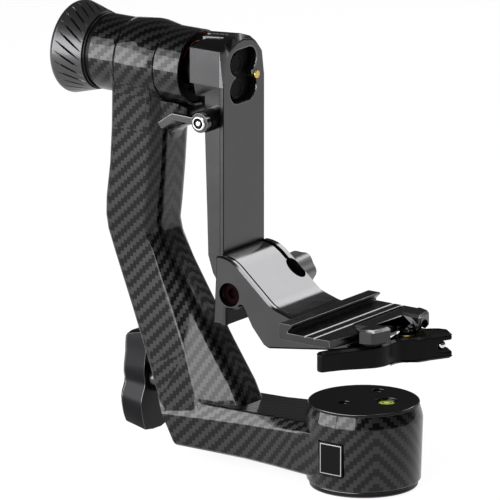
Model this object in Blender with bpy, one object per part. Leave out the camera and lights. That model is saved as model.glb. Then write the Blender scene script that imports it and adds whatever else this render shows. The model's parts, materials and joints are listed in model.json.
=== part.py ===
"""Gimbal tripod head with a carbon arm, a swing arm and a lever clamp.

Metres, +Z up. The origin is on the pan axis, on the underside of the base. X runs along the tilt axis,
with the tilt lock knob at -X, and Y runs along the lens clamp.
"""

import math

import bmesh
import bpy
from mathutils import Matrix, Vector

# Fits and mesh steps
GAP = 0.0003
OVERRUN = 0.004
WELD = 0.000002
ROUND_STEPS = 28
DRUM_STEPS = 48
SMALL_STEPS = 14
FILLET_STEPS = 3
SMOOTH_ANGLE = math.radians(32)

# Base plate, thread insert and spindle
BASE_RADIUS = 0.0305
BASE_THICKNESS = 0.0035
BASE_CHAMFER = 0.0006
THREAD_RADIUS = 0.00476
INSERT_WALL = 0.0034
INSERT_DEPTH = 0.012
SPINDLE_FLANGE_RADIUS = 0.018
SPINDLE_FLANGE_THICKNESS = 0.0042
SPINDLE_RADIUS = 0.014
SPINDLE_THREAD_RADIUS = 0.012
SPINDLE_BORE_RADIUS = 0.006
NUT_RADIUS = 0.018
NUT_HEIGHT = 0.004
PAN_BEARING_RADIUS = 0.024
PAN_BEARING_HEIGHT = 0.007

# Drum of the carbon arm, its cap, level and badge
DRUM_FOOT_RADIUS = 0.0321
DRUM_SHOULDER_RADIUS = 0.0332
DRUM_TAPER_HEIGHT = 0.0078
DRUM_TOP_RADIUS = 0.0319
DRUM_HEIGHT = 0.0468
DRUM_EDGE = 0.0005
WEB_RADIUS = 0.019
NUT_CLEARANCE = 0.0022
CAP_RADIUS = 0.0314
CAP_THICKNESS = 0.0016
CAP_CHAMFER = 0.0005
SPIGOT_HEIGHT = 0.0026
LEVEL_PLACE = (0.0119, 0.0051)
LEVEL_RADIUS = 0.0065
LEVEL_WALL = 0.0012
LEVEL_FLOOR = 0.0006
LEVEL_DEPTH = 0.0034
LEVEL_DOME = 0.0007
CAP_SCREW_PLACES = ((-0.0054, -0.0113), (-0.0041, 0.0199))
CAP_SCREW_HEAD_RADIUS = 0.0033
CAP_SCREW_RADIUS = 0.0015
CAP_SCREW_SINK = 0.0009
CAP_SCREW_LENGTH = 0.0036
BADGE_WIDTH = 0.016
BADGE_HEIGHT = 0.019
BADGE_LOW = 0.0118
BADGE_THICKNESS = 0.0012
BADGE_FACE = 0.0322
BADGE_BORDER = 0.0007

# Column and incline of the carbon arm, from the tube down: outer edge, face edge and nose as (X, Z),
# then the half widths at the outer edge and at the face edge
ARM_EDGE_RADIUS = 0.0032
ARM_NOSE_RADIUS = 0.008
ARM_NOSE_HALF_WIDTH = 0.010
COLUMN_RINGS = (
    ((-0.1610, 0.2180), (-0.1346, 0.2180), (-0.1286, 0.2180), 0.0216, 0.0216),
    ((-0.1610, 0.2120), (-0.1346, 0.2120), (-0.1286, 0.2120), 0.0208, 0.0208),
    ((-0.1612, 0.2060), (-0.1346, 0.2060), (-0.1286, 0.2060), 0.0193, 0.0193),
    ((-0.1619, 0.1860), (-0.1346, 0.1860), (-0.1288, 0.1860), 0.0188, 0.0188),
    ((-0.1632, 0.1640), (-0.1360, 0.1640), (-0.1301, 0.1630), 0.0188, 0.0183),
    ((-0.1657, 0.1450), (-0.1380, 0.1420), (-0.1321, 0.1410), 0.0188, 0.0180),
    ((-0.1660, 0.1345), (-0.1392, 0.1310), (-0.1333, 0.1310), 0.0188, 0.0174),
    ((-0.1646, 0.1260), (-0.1383, 0.1254), (-0.1307, 0.1210), 0.0188, 0.0170),
    ((-0.1606, 0.1146), (-0.1345, 0.1168), (-0.1217, 0.1065), 0.0188, 0.0153),
    ((-0.1480, 0.0830), (-0.1234, 0.0928), (-0.1148, 0.0964), 0.0188, 0.0174),
    ((-0.1353, 0.0512), (-0.1097, 0.0616), (-0.0954, 0.0672), 0.0196, 0.0190),
    ((-0.1280, 0.0330), (-0.1021, 0.0375), (-0.0800, 0.0455), 0.0212, 0.0206),
    ((-0.1160, 0.0140), (-0.1000, 0.0200), (-0.0730, 0.0320), 0.0206, 0.0206),
)

# Lower limb of the carbon arm: X, height of the side, height of the top, half width and top half width
LIMB_BOTTOM = 0.0076
LIMB_HEEL_X = -0.1145
LIMB_RINGS = (
    (-0.0880, 0.0272, 0.0348, 0.0218, 0.0186),
    (-0.0660, 0.0286, 0.0352, 0.0224, 0.0190),
    (-0.0480, 0.0299, 0.0360, 0.0246, 0.0206),
    (-0.0300, 0.0316, 0.0370, 0.0276, 0.0230),
    (-0.0060, 0.0335, 0.0380, 0.0308, 0.0260),
)
LIMB_END = (-0.1290, 0.0250, 0.0348, 0.0218, 0.0186)

# Tilt tube, its bearings and the shaft
TILT_HEIGHT = 0.2233
TUBE_RADIUS = 0.0217
TUBE_LEFT = -0.1745
TUBE_RIGHT = -0.1129
BAND_PLACES = ((-0.1605, 0.0217), (-0.1575, 0.0222), (-0.1440, 0.0236), (-0.1405, 0.0235), (-0.1305, 0.0217))
TUBE_BORE_RADIUS = 0.0135
SEAT_RADIUS = 0.0173
LEFT_SEAT_DEPTH = 0.0145
RIGHT_SEAT_DEPTH = 0.0152
TILT_BEARING_WIDTH = 0.0068
SHAFT_RADIUS = 0.010
SHAFT_STUD_RADIUS = 0.005
SHAFT_STUD_LENGTH = 0.0165
SHAFT_FLANGE_RADIUS = 0.014
SHAFT_FLANGE_THICKNESS = 0.0055
RETAINER_THICKNESS = 0.0055
COLLAR_RADIUS = 0.0202
COLLAR_THICKNESS = 0.0043
COLLAR_SINK = 0.0018
COLLAR_BORE_WALL = 0.0006
WASHER_RADIUS = 0.0208
WASHER_THICKNESS = 0.0026

# Tilt lock knob
TILT_KNOB_SMALL_RADIUS = 0.0218
TILT_KNOB_LARGE_RADIUS = 0.0264
TILT_KNOB_LENGTH = 0.0225
TILT_KNOB_RIM = 0.0045
TILT_KNOB_EDGE = 0.0008
TILT_KNOB_GROOVES = 28
TILT_KNOB_GROOVE_DEPTH = 0.0009
TILT_KNOB_TWIST = math.radians(26)
TILT_KNOB_DISH = 0.0018
TILT_KNOB_INSERT_RADIUS = 0.0085
TILT_KNOB_CAP_RADIUS = 0.0125
TILT_KNOB_CAP_THICKNESS = 0.0012

# Pan lock knob, its bearing and the brake
PAN_KNOB_HEIGHT = 0.0382
PAN_KNOB_OUTER_X = -0.159
PAN_KNOB_INNER_X = -0.1435
PAN_KNOB_REACH = 0.0268
PAN_KNOB_INNER_REACH = 0.0302
PAN_KNOB_HALF_THICKNESS = 0.0145
PAN_KNOB_EDGE = 0.0018
PAN_SCREW_HEAD_RADIUS = 0.0065
PAN_SCREW_HEAD_HEIGHT = 0.0038
PAN_SCREW_RADIUS = 0.0037
PAN_BOSS_RADIUS = 0.008
POCKET_LOW = 0.0112
POCKET_HIGH = 0.043
COVER_DEPTH = 0.007
COVER_HALF_WIDTH = 0.0053
ROCKER_THICKNESS = 0.006
ROCKER_HALF_WIDTH = 0.005
ROCKER_PIN_HEIGHT = 0.0155
ROCKER_PIN_RADIUS = 0.0015
ROCKER_PIN_HALF_LENGTH = 0.011
ROD_RADIUS = 0.003
ROD_END_X = -0.096
SHOE_RADIUS = 0.005
SHOE_LENGTH = 0.0095

# Swing arm
PLATE_FRONT = -0.0827
PLATE_BACK = -0.0885
PLATE_HALF_WIDTH = 0.01965
PLATE_BOTTOM = 0.085
PLATE_EDGE_DEPTH = 0.0018
HEAD_FACE_RADIUS = 0.0205
RAIL_HALF_WIDTH = 0.015
RAIL_BACK_TOP = -0.0996
RAIL_BACK_LOW = -0.0971
RAIL_LOW_HEIGHT = 0.120
RAIL_TOE_X = -0.0938
RAIL_TOE_HEIGHT = 0.110
RAIL_END_HEIGHT = 0.103
RAIL_EDGE = 0.0022
HUB_LEFT = -0.105
HUB_HALF_WIDTH = 0.0203
HUB_RIGHT = -0.0848
HUB_SIDE_DROP = 0.0034
HUB_LEFT_PLACES = (
    (0.0187, 0.0112),
    (0.0140, 0.0163),
    (0.0085, 0.0200),
    (0.0002, 0.0221),
    (-0.0065, 0.0212),
    (-0.0135, 0.0180),
    (-0.0203, 0.0169),
)
HUB_RIGHT_PLACES = (
    (0.0189, 0.0114),
    (0.0143, 0.0167),
    (0.0088, 0.0207),
    (0.0002, 0.0238),
    (-0.0071, 0.0228),
    (-0.0154, 0.0202),
    (-0.0203, 0.0170),
)
HUB_UNDER_RADIUS = 0.017
HUB_GROOVE_WIDTH = 0.0022
HUB_GROOVE_HEIGHT = 0.0205
HUB_GROOVE_SLOPE = 0.35
HUB_GROOVE_PLACES = (-0.0089, -0.0042)
BOSS_X = -0.0913
BOSS_HEIGHT = 0.2006
BOSS_RADIUS = 0.0062
BOSS_FACE = 0.0258
POCKET_HALF_LENGTH = 0.0125
POCKET_RADIUS = 0.0074
POCKET_OFFSET = 0.0078
POCKET_DEPTH = 0.0042
POCKET_WAIST = (-0.007, 0.008)
ARM_SCREW_OFFSET = 0.0052
ARM_SCREW_RISE = 0.0071
ARM_SCREW_HEAD_RADIUS = 0.0058
ARM_SCREW_HEAD_HEIGHT = 0.0045
ARM_SCREW_RADIUS = 0.003
ARM_SCREW_BORE_DEPTH = 0.006
ARM_SCREW_SOCKET_RADIUS = 0.0024
BRASS_PIN_RADIUS = 0.0026
BRASS_PIN_PLACE = 0.0123
BRASS_PIN_DROP = 0.0019
BRASS_PIN_LENGTH = 0.009
BRASS_PIN_STAND = 0.0008

# Cranked clamp lever on the swing arm
CRANK_HUB_RADIUS = 0.0056
CRANK_THICKNESS = 0.0032
CRANK_HUB_HEIGHT = 0.0042
CRANK_ELBOW = (-0.0194, 0.0006)
CRANK_TIP = (-0.0285, -0.0060)
CRANK_HALF_WIDTH = 0.0023
CRANK_SCREW_RADIUS = 0.0042
CRANK_SCREW_HEIGHT = 0.0018
CRANK_BOLT_RADIUS = 0.0025
CRANK_BOLT_LENGTH = 0.014
CRANK_SOCKET_RADIUS = 0.0015

# Foot bracket
FOOT_HALF_WIDTH = 0.024
FOOT_BACK = -0.0866
FOOT_TOP = 0.124
FOOT_TOP_FRONT = -0.0745
SLOPE_END = (-0.0459, 0.0999)
SADDLE = (-0.0328, 0.0960)
SEAT_HEIGHT = 0.0885
SEAT_BACK = -0.0283
FOOT_FRONT = 0.010
FOOT_FRONT_LOW = 0.0838
KEEL = (-0.0489, 0.0756)
KEEL_BACK = (-0.0526, 0.0774)
CHANNEL_FOOT = (-0.0605, 0.0865)
CHANNEL_TOP = (-0.0668, 0.0978)
LEG_FRONT = -0.0788
LEG_BOTTOM = 0.084
FOOT_EDGE = 0.0011
FOOT_CORNER_RADIUS = 0.004
FOOT_SADDLE_RADIUS = 0.016
CLAMP_BOLT_X = -0.0754
CLAMP_BOLT_HEIGHT = 0.1025
CLAMP_BORE_RADIUS = 0.0069
CLAMP_BORE_DEPTH = 0.008
CLAMP_BORE_WALL = 0.0018
CLAMP_BOLT_RADIUS = 0.0034
CLAMP_HEAD_HEIGHT = 0.0045
CLAMP_HEAD_RADIUS = 0.0062
CLAMP_SOCKET_RADIUS = 0.003
SLIT_INNER = 0.0172
SLIT_WIDTH = 0.0022
KEYHOLE_X = -0.0598
KEYHOLE_RADIUS = 0.0055

# Height clamp knob
HEIGHT_KNOB_RADIUS = 0.0108
HEIGHT_KNOB_LENGTH = 0.0225
HEIGHT_KNOB_NECK_RADIUS = 0.0068
HEIGHT_KNOB_NECK_LENGTH = 0.003
HEIGHT_KNOB_LOBES = 6
HEIGHT_KNOB_LOBE_DEPTH = 0.0011
HEIGHT_KNOB_TAPER = 0.0016
HEIGHT_KNOB_BORE_DEPTH = 0.013

# Lens clamp
CLAMP_FLOOR_THICKNESS = 0.0045
CLAMP_DEPTH = 0.005
FIXED_JAW_BACK = -0.028
FIXED_LIP = -0.0191
JAW_UNDERCUT = 0.0027
LIP_THICKNESS = 0.001
JAW_CHAMFER = 0.001
FOOT_FRONT_CORNER = (0.0044, 0.0175)
CLAMP_HALF_LENGTH = 0.0428
CLAMP_END_X = 0.0066
CLAMP_FRONT = 0.0104
CLAMP_NARROW_HALF_LENGTH = 0.027
FLOOR_GROOVE_PLACES = (-0.0099, -0.0036)
FLOOR_GROOVE_WIDTH = 0.0012
FLOOR_GROOVE_DEPTH = 0.0007
BASE_SCREW_PLACES = (-0.012, 0.012)
BASE_SCREW_X = -0.016
BASE_SCREW_RADIUS = 0.002
BASE_SCREW_HEAD_RADIUS = 0.0036
BASE_SCREW_HEAD_HEIGHT = 0.0026
BASE_SCREW_BITE = 0.0032

# Moving jaw, as places (X, distance from its middle), and its guide pins
MOVING_LIP = 0.008
JAW_MIDDLE = 0.001
JAW_LIP_HALF_LENGTH = 0.0253
JAW_NECK = (0.0146, 0.0228)
JAW_WING_START = (0.0155, 0.0296)
JAW_WING = (0.0185, 0.0298)
JAW_CORNER = (0.0252, 0.0272)
JAW_EAR = (0.0282, 0.0135)
JAW_SLOPE_X = 0.0165
JAW_SHELF_X = 0.0252
JAW_SHELF_DROP = 0.0063
JAW_POCKET_X = 0.0185
PIVOT_COLUMN_RADIUS = 0.0042
PIVOT_COLUMN_RISE = 0.0038
GUIDE_PIN_RADIUS = 0.0013
GUIDE_PIN_PLACES = (-0.0175, 0.0195)
GUIDE_PIN_DROP = 0.0026
GUIDE_PIN_BITE = 0.014
GUIDE_PIN_END = 0.0175
BRASS_PAD_LOW = (0.0176, 0.0156)
BRASS_PAD_HIGH = (0.0246, 0.0236)
BRASS_PAD_HALF_THICKNESS = 0.0005
PAD_ARCH_RADIUS = 0.0048

# Clamp lever, as places (X, Y) along its near and far sides, and its pivot
PIVOT = (0.0221, 0.0094)
PIVOT_RADIUS = 0.0022
PIVOT_HEAD_RADIUS = 0.0032
PIVOT_HEAD_HEIGHT = 0.0010
PIVOT_WASHER_RADIUS = 0.0046
LEVER_DROP = 0.0014
LEVER_DEPTH = 0.0137
LEVER_TIP_RISE = 0.0031
LEVER_EDGE = 0.0005
LEVER_TIP = ((0.0020, -0.0482), (0.0035, -0.0500), (0.0070, -0.0503))
LEVER_NEAR = (
    (0.0116, -0.0380),
    (0.0168, -0.0295),
    (0.0222, -0.0200),
    (0.0236, -0.0125),
    (0.0232, -0.0060),
    (0.0236, 0.0000),
    (0.0262, 0.0043),
    (0.0318, 0.0080),
    (0.0350, 0.0155),
)
LEVER_PADDLE = ((0.0411, 0.0272), (0.0340, 0.0328), (0.0290, 0.0318))
LEVER_FAR = (
    (0.0240, 0.0280),
    (0.0195, 0.0210),
    (0.0165, 0.0130),
    (0.0162, 0.0060),
    (0.0176, 0.0000),
    (0.0182, -0.0065),
    (0.0184, -0.0125),
    (0.0172, -0.0190),
    (0.0118, -0.0275),
    (0.0062, -0.0370),
)
LEVER_CURVE_STEPS = 2
FORK_SLOT_RISE = 0.0039
FORK_SLOT_WIDTH = 0.0061
FORK_SLOT_START = 0.0195
FORK_SLOT_RADIUS = 0.003
BALL_PLACE = (0.0352, 0.0244)

# Shares of the wing knob's half thickness and reach, down its near side; its far side is the same, turned
WING_shares = (
    (0.33, 0.99),
    (0.62, 0.95),
    (0.66, 0.78),
    (0.67, 0.58),
    (0.77, 0.30),
    (0.79, 0.14),
    (0.72, 0.0),
    (0.75, -0.12),
    (0.93, -0.30),
    (0.98, -0.42),
    (0.95, -0.58),
    (0.84, -0.80),
    (0.70, -0.95),
    (0.20, -0.985),
)

# Surfaces: colour, roughness and metallic value
CARBON = ((0.035, 0.035, 0.037), 0.25, 0.0)
SATIN_GREY = ((0.10, 0.10, 0.105), 0.38, 0.7)
BLACK = ((0.015, 0.015, 0.016), 0.32, 0.5)
BLACK_SATIN = ((0.03, 0.03, 0.031), 0.30, 0.6)
BLACK_STEEL = ((0.02, 0.02, 0.02), 0.30, 0.9)
STEEL = ((0.45, 0.45, 0.46), 0.30, 1.0)
POLISHED_STEEL = ((0.75, 0.75, 0.76), 0.12, 1.0)
BRASS = ((0.70, 0.55, 0.22), 0.25, 1.0)
RED_ANODISED = ((0.50, 0.06, 0.03), 0.35, 0.7)
LEVEL_YELLOW = ((0.62, 0.72, 0.05), 0.15, 0.0)

bodies = {}


def clear_scene():
    """Empties the file that the script runs in."""
    for item in list(bpy.data.objects):
        bpy.data.objects.remove(item)


def material(name, colour, roughness, metallic):
    """A plain surface in the colour of the real piece."""
    made = bpy.data.materials.new(name)
    made.use_nodes = True
    shader = made.node_tree.nodes["Principled BSDF"]
    shader.inputs["Base Color"].default_value = (*colour, 1)
    shader.inputs["Roughness"].default_value = roughness
    shader.inputs["Metallic"].default_value = metallic
    made.diffuse_color = (*colour, 1)
    return made


def add_body(name, place):
    """An empty on a joint's axis, which carries the pieces that move together."""
    empty = bpy.data.objects.new(name, None)
    empty.location = place
    bpy.context.collection.objects.link(empty)
    bodies[name] = Vector(place)


def finish(piece, body, surface):
    """Seats a piece on its body, with its origin on the joint's axis, and gives it its surface."""
    piece.data.transform(Matrix.Translation(-bodies[body]))
    piece.parent = bpy.data.objects[body]
    piece.data.materials.clear()
    piece.data.materials.append(material(piece.name, *surface))
    piece.data.shade_smooth()
    piece.data.set_sharp_from_angle(angle=SMOOTH_ANGLE)


def piece_from(name, mesh):
    """Turns a bmesh into an object in the scene."""
    bmesh.ops.remove_doubles(mesh, verts=mesh.verts, dist=WELD)
    bmesh.ops.recalc_face_normals(mesh, faces=mesh.faces)
    data = bpy.data.meshes.new(name)
    mesh.to_mesh(data)
    mesh.free()
    made = bpy.data.objects.new(name, data)
    bpy.context.collection.objects.link(made)
    return made


def lay_along(axis, point):
    """Takes a point of a shape built about +Z to the named axis."""
    across, over, along = point
    if axis == "X":
        return Vector((along, over, -across))
    if axis == "Y":
        return Vector((across, along, -over))
    return Vector(point)


def turned(name, profile, axis="Z", centre=(0, 0, 0), steps=ROUND_STEPS):
    """Revolves a closed outline of (radius, place along the axis) about the axis."""
    mesh = bmesh.new()
    place = Vector(centre)
    points = [mesh.verts.new(lay_along(axis, (r, 0, h)) + place) for r, h in profile]
    edges = [mesh.edges.new((points[i - 1], points[i])) for i in range(len(points))]
    bmesh.ops.spin(
        mesh,
        geom=points + edges,
        cent=place,
        axis=lay_along(axis, (0, 0, 1)),
        angle=math.tau,
        steps=steps,
        use_merge=True,
    )
    bmesh.ops.remove_doubles(mesh, verts=mesh.verts, dist=WELD)
    bmesh.ops.dissolve_degenerate(mesh, edges=mesh.edges, dist=WELD)
    return piece_from(name, mesh)


def rod(name, radius, low, high, axis="Z", centre=(0, 0, 0), steps=ROUND_STEPS):
    """A round bar between two places on its axis."""
    return turned(name, ((0, low), (radius, low), (radius, high), (0, high)), axis, centre, steps)


def ring(name, inner, outer, low, high, axis="Z", centre=(0, 0, 0), steps=ROUND_STEPS):
    """A plain ring."""
    profile = ((inner, low), (outer, low), (outer, high), (inner, high))
    return turned(name, profile, axis, centre, steps)


def rounded(corners, steps=FILLET_STEPS):
    """An outline whose corners (a, b, radius) are replaced by arcs. A radius of 0 stays sharp."""
    outline = []
    for i, (a, b, radius) in enumerate(corners):
        here = Vector((a, b))
        if radius == 0:
            outline.append(here)
            continue
        back = Vector(corners[i - 1][:2]) - here
        onward = Vector(corners[(i + 1) % len(corners)][:2]) - here
        half = back.angle(onward) / 2
        run = min(radius / math.tan(half), back.length / 2, onward.length / 2)
        reach = run * math.tan(half)
        start = back.normalized() * run
        centre = (back.normalized() + onward.normalized()).normalized() * math.hypot(run, reach)
        turn = math.pi - 2 * half
        if back.cross(onward) > 0:
            turn = -turn
        for k in range(steps + 1):
            arm = start - centre
            arm.rotate(Matrix.Rotation(turn * k / steps, 2))
            outline.append(here + centre + arm)
    return outline


def prism(name, outline, axis, low, high, rim=0):
    """Extrudes an outline along an axis, with its rims bevelled. The outline is in (X, Y) along Z,
    in (X, Z) along Y and in (Y, Z) along X."""
    mesh = bmesh.new()
    place = {
        "Z": lambda p, h: (p[0], p[1], h),
        "Y": lambda p, h: (p[0], h, p[1]),
        "X": lambda p, h: (h, p[0], p[1]),
    }[axis]
    lower = [mesh.verts.new(place(point, low)) for point in outline]
    upper = [mesh.verts.new(place(point, high)) for point in outline]
    floor = mesh.faces.new(lower)
    roof = mesh.faces.new(upper)
    for i in range(len(outline)):
        mesh.faces.new((lower[i - 1], lower[i], upper[i], upper[i - 1]))
    bmesh.ops.recalc_face_normals(mesh, faces=mesh.faces)
    if rim:
        edges = list(floor.edges) + list(roof.edges)
        bmesh.ops.bevel(mesh, geom=edges, offset=rim, segments=1, affect="EDGES")
    return piece_from(name, mesh)


def box(name, low, high, rim=0):
    """A block between two corners."""
    outline = ((low[0], low[1]), (high[0], low[1]), (high[0], high[1]), (low[0], high[1]))
    return prism(name, outline, "Z", low[2], high[2], rim)


def loft(name, rings):
    """Skins rings of equally many points and closes both ends."""
    mesh = bmesh.new()
    rows = [[mesh.verts.new(point) for point in row] for row in rings]
    for lower, upper in zip(rows, rows[1:]):
        for i in range(len(lower)):
            mesh.faces.new((lower[i - 1], lower[i], upper[i], upper[i - 1]))
    mesh.faces.new(rows[0])
    mesh.faces.new(rows[-1])
    return piece_from(name, mesh)


def combine(target, tool, operation):
    """Applies one exact Boolean and removes the tool."""
    step = target.modifiers.new(operation.title(), "BOOLEAN")
    step.operation = operation
    step.solver = "EXACT"
    step.object = tool
    graph = bpy.context.evaluated_depsgraph_get()
    target.data = bpy.data.meshes.new_from_object(target.evaluated_get(graph))
    target.modifiers.clear()
    bpy.data.objects.remove(tool)


def cut(target, *tools):
    """Takes each tool away from the target."""
    for tool in tools:
        combine(target, tool, "DIFFERENCE")
    return target


def unite(target, *tools):
    """Fuses each tool with the target."""
    for tool in tools:
        combine(target, tool, "UNION")
    return target


def mirrored(points):
    """An outline whose second half mirrors the first about its second axis."""
    return list(points) + [(-a, b) for a, b in reversed(points)]


def smooth_through(points, steps):
    """Points along a smooth curve through the given ones, whose numbers are all carried along."""
    ends = [points[0], *points, points[-1]]
    made = []
    for before, start, end, after in zip(ends, ends[1:], ends[2:], ends[3:]):
        for k in range(steps):
            t = k / steps
            made.append(
                tuple(
                    s + t * (e - b + t * (2 * b - 5 * s + 4 * e - a + t * (3 * (s - e) + a - b))) / 2
                    for b, s, e, a in zip(before, start, end, after)
                )
            )
    made.append(tuple(points[-1]))
    return made


# Heights that follow from the sizes above
drum_foot = BASE_THICKNESS + GAP
flange_top = drum_foot + SPINDLE_FLANGE_THICKNESS
lower_bearing_low = flange_top + GAP
lower_bearing_high = lower_bearing_low + PAN_BEARING_HEIGHT
nut_high = DRUM_HEIGHT - SPIGOT_HEIGHT - NUT_CLEARANCE
nut_low = nut_high - NUT_HEIGHT
upper_bearing_high = nut_low - GAP
upper_bearing_low = upper_bearing_high - PAN_BEARING_HEIGHT
web_low = lower_bearing_high + GAP
web_high = upper_bearing_low - GAP
rod_height = (web_low + web_high) / 2
hub_low = TILT_HEIGHT - HUB_SIDE_DROP
cap_low = DRUM_HEIGHT + GAP
cap_high = cap_low + CAP_THICKNESS
insert_radius = THREAD_RADIUS + INSERT_WALL
drum_bore = PAN_BEARING_RADIUS + GAP

clamp_low = SEAT_HEIGHT + GAP
clamp_floor = clamp_low + CLAMP_FLOOR_THICKNESS
clamp_top = clamp_floor + CLAMP_DEPTH
shelf_height = clamp_top - JAW_SHELF_DROP
guide_pin_height = clamp_floor - GUIDE_PIN_DROP
lever_high = clamp_low - LEVER_DROP
lever_low = lever_high - LEVER_DEPTH
fork_slot_low = lever_low + FORK_SLOT_RISE
fork_slot_high = fork_slot_low + FORK_SLOT_WIDTH

limb_back = [(LIMB_HEEL_X, LIMB_BOTTOM), *(ring[0] for ring in reversed(COLUMN_RINGS[:-1]))]


def back_of_limb(height):
    """X of the limb's outer face at a height."""
    for (low_x, low), (high_x, high) in zip(limb_back, limb_back[1:]):
        if height <= high:
            break
    return low_x + (height - low) * (high_x - low_x) / (high - low)


def make_base():
    """Base plate, thread insert, spindle, nut and pan bearings."""
    bore = insert_radius + GAP
    edge = BASE_RADIUS - BASE_CHAMFER
    plate = turned(
        "base_plate",
        (
            (bore, 0),
            (edge, 0),
            (BASE_RADIUS, BASE_CHAMFER),
            (BASE_RADIUS, BASE_THICKNESS - BASE_CHAMFER),
            (edge, BASE_THICKNESS),
            (bore, BASE_THICKNESS),
        ),
        steps=DRUM_STEPS,
    )
    finish(plate, "tripod_base", SATIN_GREY)

    insert = ring("thread_insert", THREAD_RADIUS, insert_radius, 0, INSERT_DEPTH)
    finish(insert, "tripod_base", STEEL)

    spindle = turned(
        "pan_spindle",
        (
            (bore, drum_foot),
            (SPINDLE_FLANGE_RADIUS, drum_foot),
            (SPINDLE_FLANGE_RADIUS, flange_top),
            (SPINDLE_RADIUS, flange_top),
            (SPINDLE_RADIUS, upper_bearing_high),
            (SPINDLE_THREAD_RADIUS, upper_bearing_high),
            (SPINDLE_THREAD_RADIUS, nut_high),
            (SPINDLE_BORE_RADIUS, nut_high),
            (SPINDLE_BORE_RADIUS, INSERT_DEPTH + GAP),
            (bore, INSERT_DEPTH + GAP),
        ),
    )
    finish(spindle, "tripod_base", STEEL)

    nut = ring("spindle_nut", SPINDLE_THREAD_RADIUS + GAP, NUT_RADIUS, nut_low, nut_high)
    finish(nut, "tripod_base", SATIN_GREY)

    places = {"pan_bearing_lower": lower_bearing_low, "pan_bearing_upper": upper_bearing_low}
    for name, low in places.items():
        bearing = ring(name, SPINDLE_RADIUS + GAP, PAN_BEARING_RADIUS, low, low + PAN_BEARING_HEIGHT)
        finish(bearing, "arm", STEEL)


def arm_ring(outer, face, nose, half_width, face_half_width):
    """One section of the column: a flat outer side, two flat faces and a narrower, rounded nose."""
    outer, face, nose = Vector(outer), Vector(face), Vector(nose)
    flat = (face - outer).length
    run = (nose - face).length
    section = rounded(
        (
            (0, half_width, ARM_EDGE_RADIUS),
            (flat, face_half_width, ARM_EDGE_RADIUS),
            (flat + run, ARM_NOSE_HALF_WIDTH, ARM_NOSE_RADIUS),
            (flat + run, -ARM_NOSE_HALF_WIDTH, ARM_NOSE_RADIUS),
            (flat, -face_half_width, ARM_EDGE_RADIUS),
            (0, -half_width, ARM_EDGE_RADIUS),
        ),
        FILLET_STEPS + 1,
    )
    points = []
    for along, y in section:
        if along <= flat:
            place = outer.lerp(face, along / flat)
        else:
            place = face.lerp(nose, (along - flat) / run)
        points.append((place.x, y, place.y))
    return points


def limb_ring(x, side, top, half_width, top_half_width, lean=0):
    """One section of the lower limb, with steep chamfers up to its flat top. lean tips it along X."""
    section = rounded(
        (
            (half_width, LIMB_BOTTOM, ARM_EDGE_RADIUS),
            (half_width, side, ARM_EDGE_RADIUS),
            (top_half_width, top, ARM_EDGE_RADIUS / 2),
            (-top_half_width, top, ARM_EDGE_RADIUS / 2),
            (-half_width, side, ARM_EDGE_RADIUS),
            (-half_width, LIMB_BOTTOM, ARM_EDGE_RADIUS),
        )
    )
    return [(x + lean * (top - z), y, z) for y, z in section]


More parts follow.
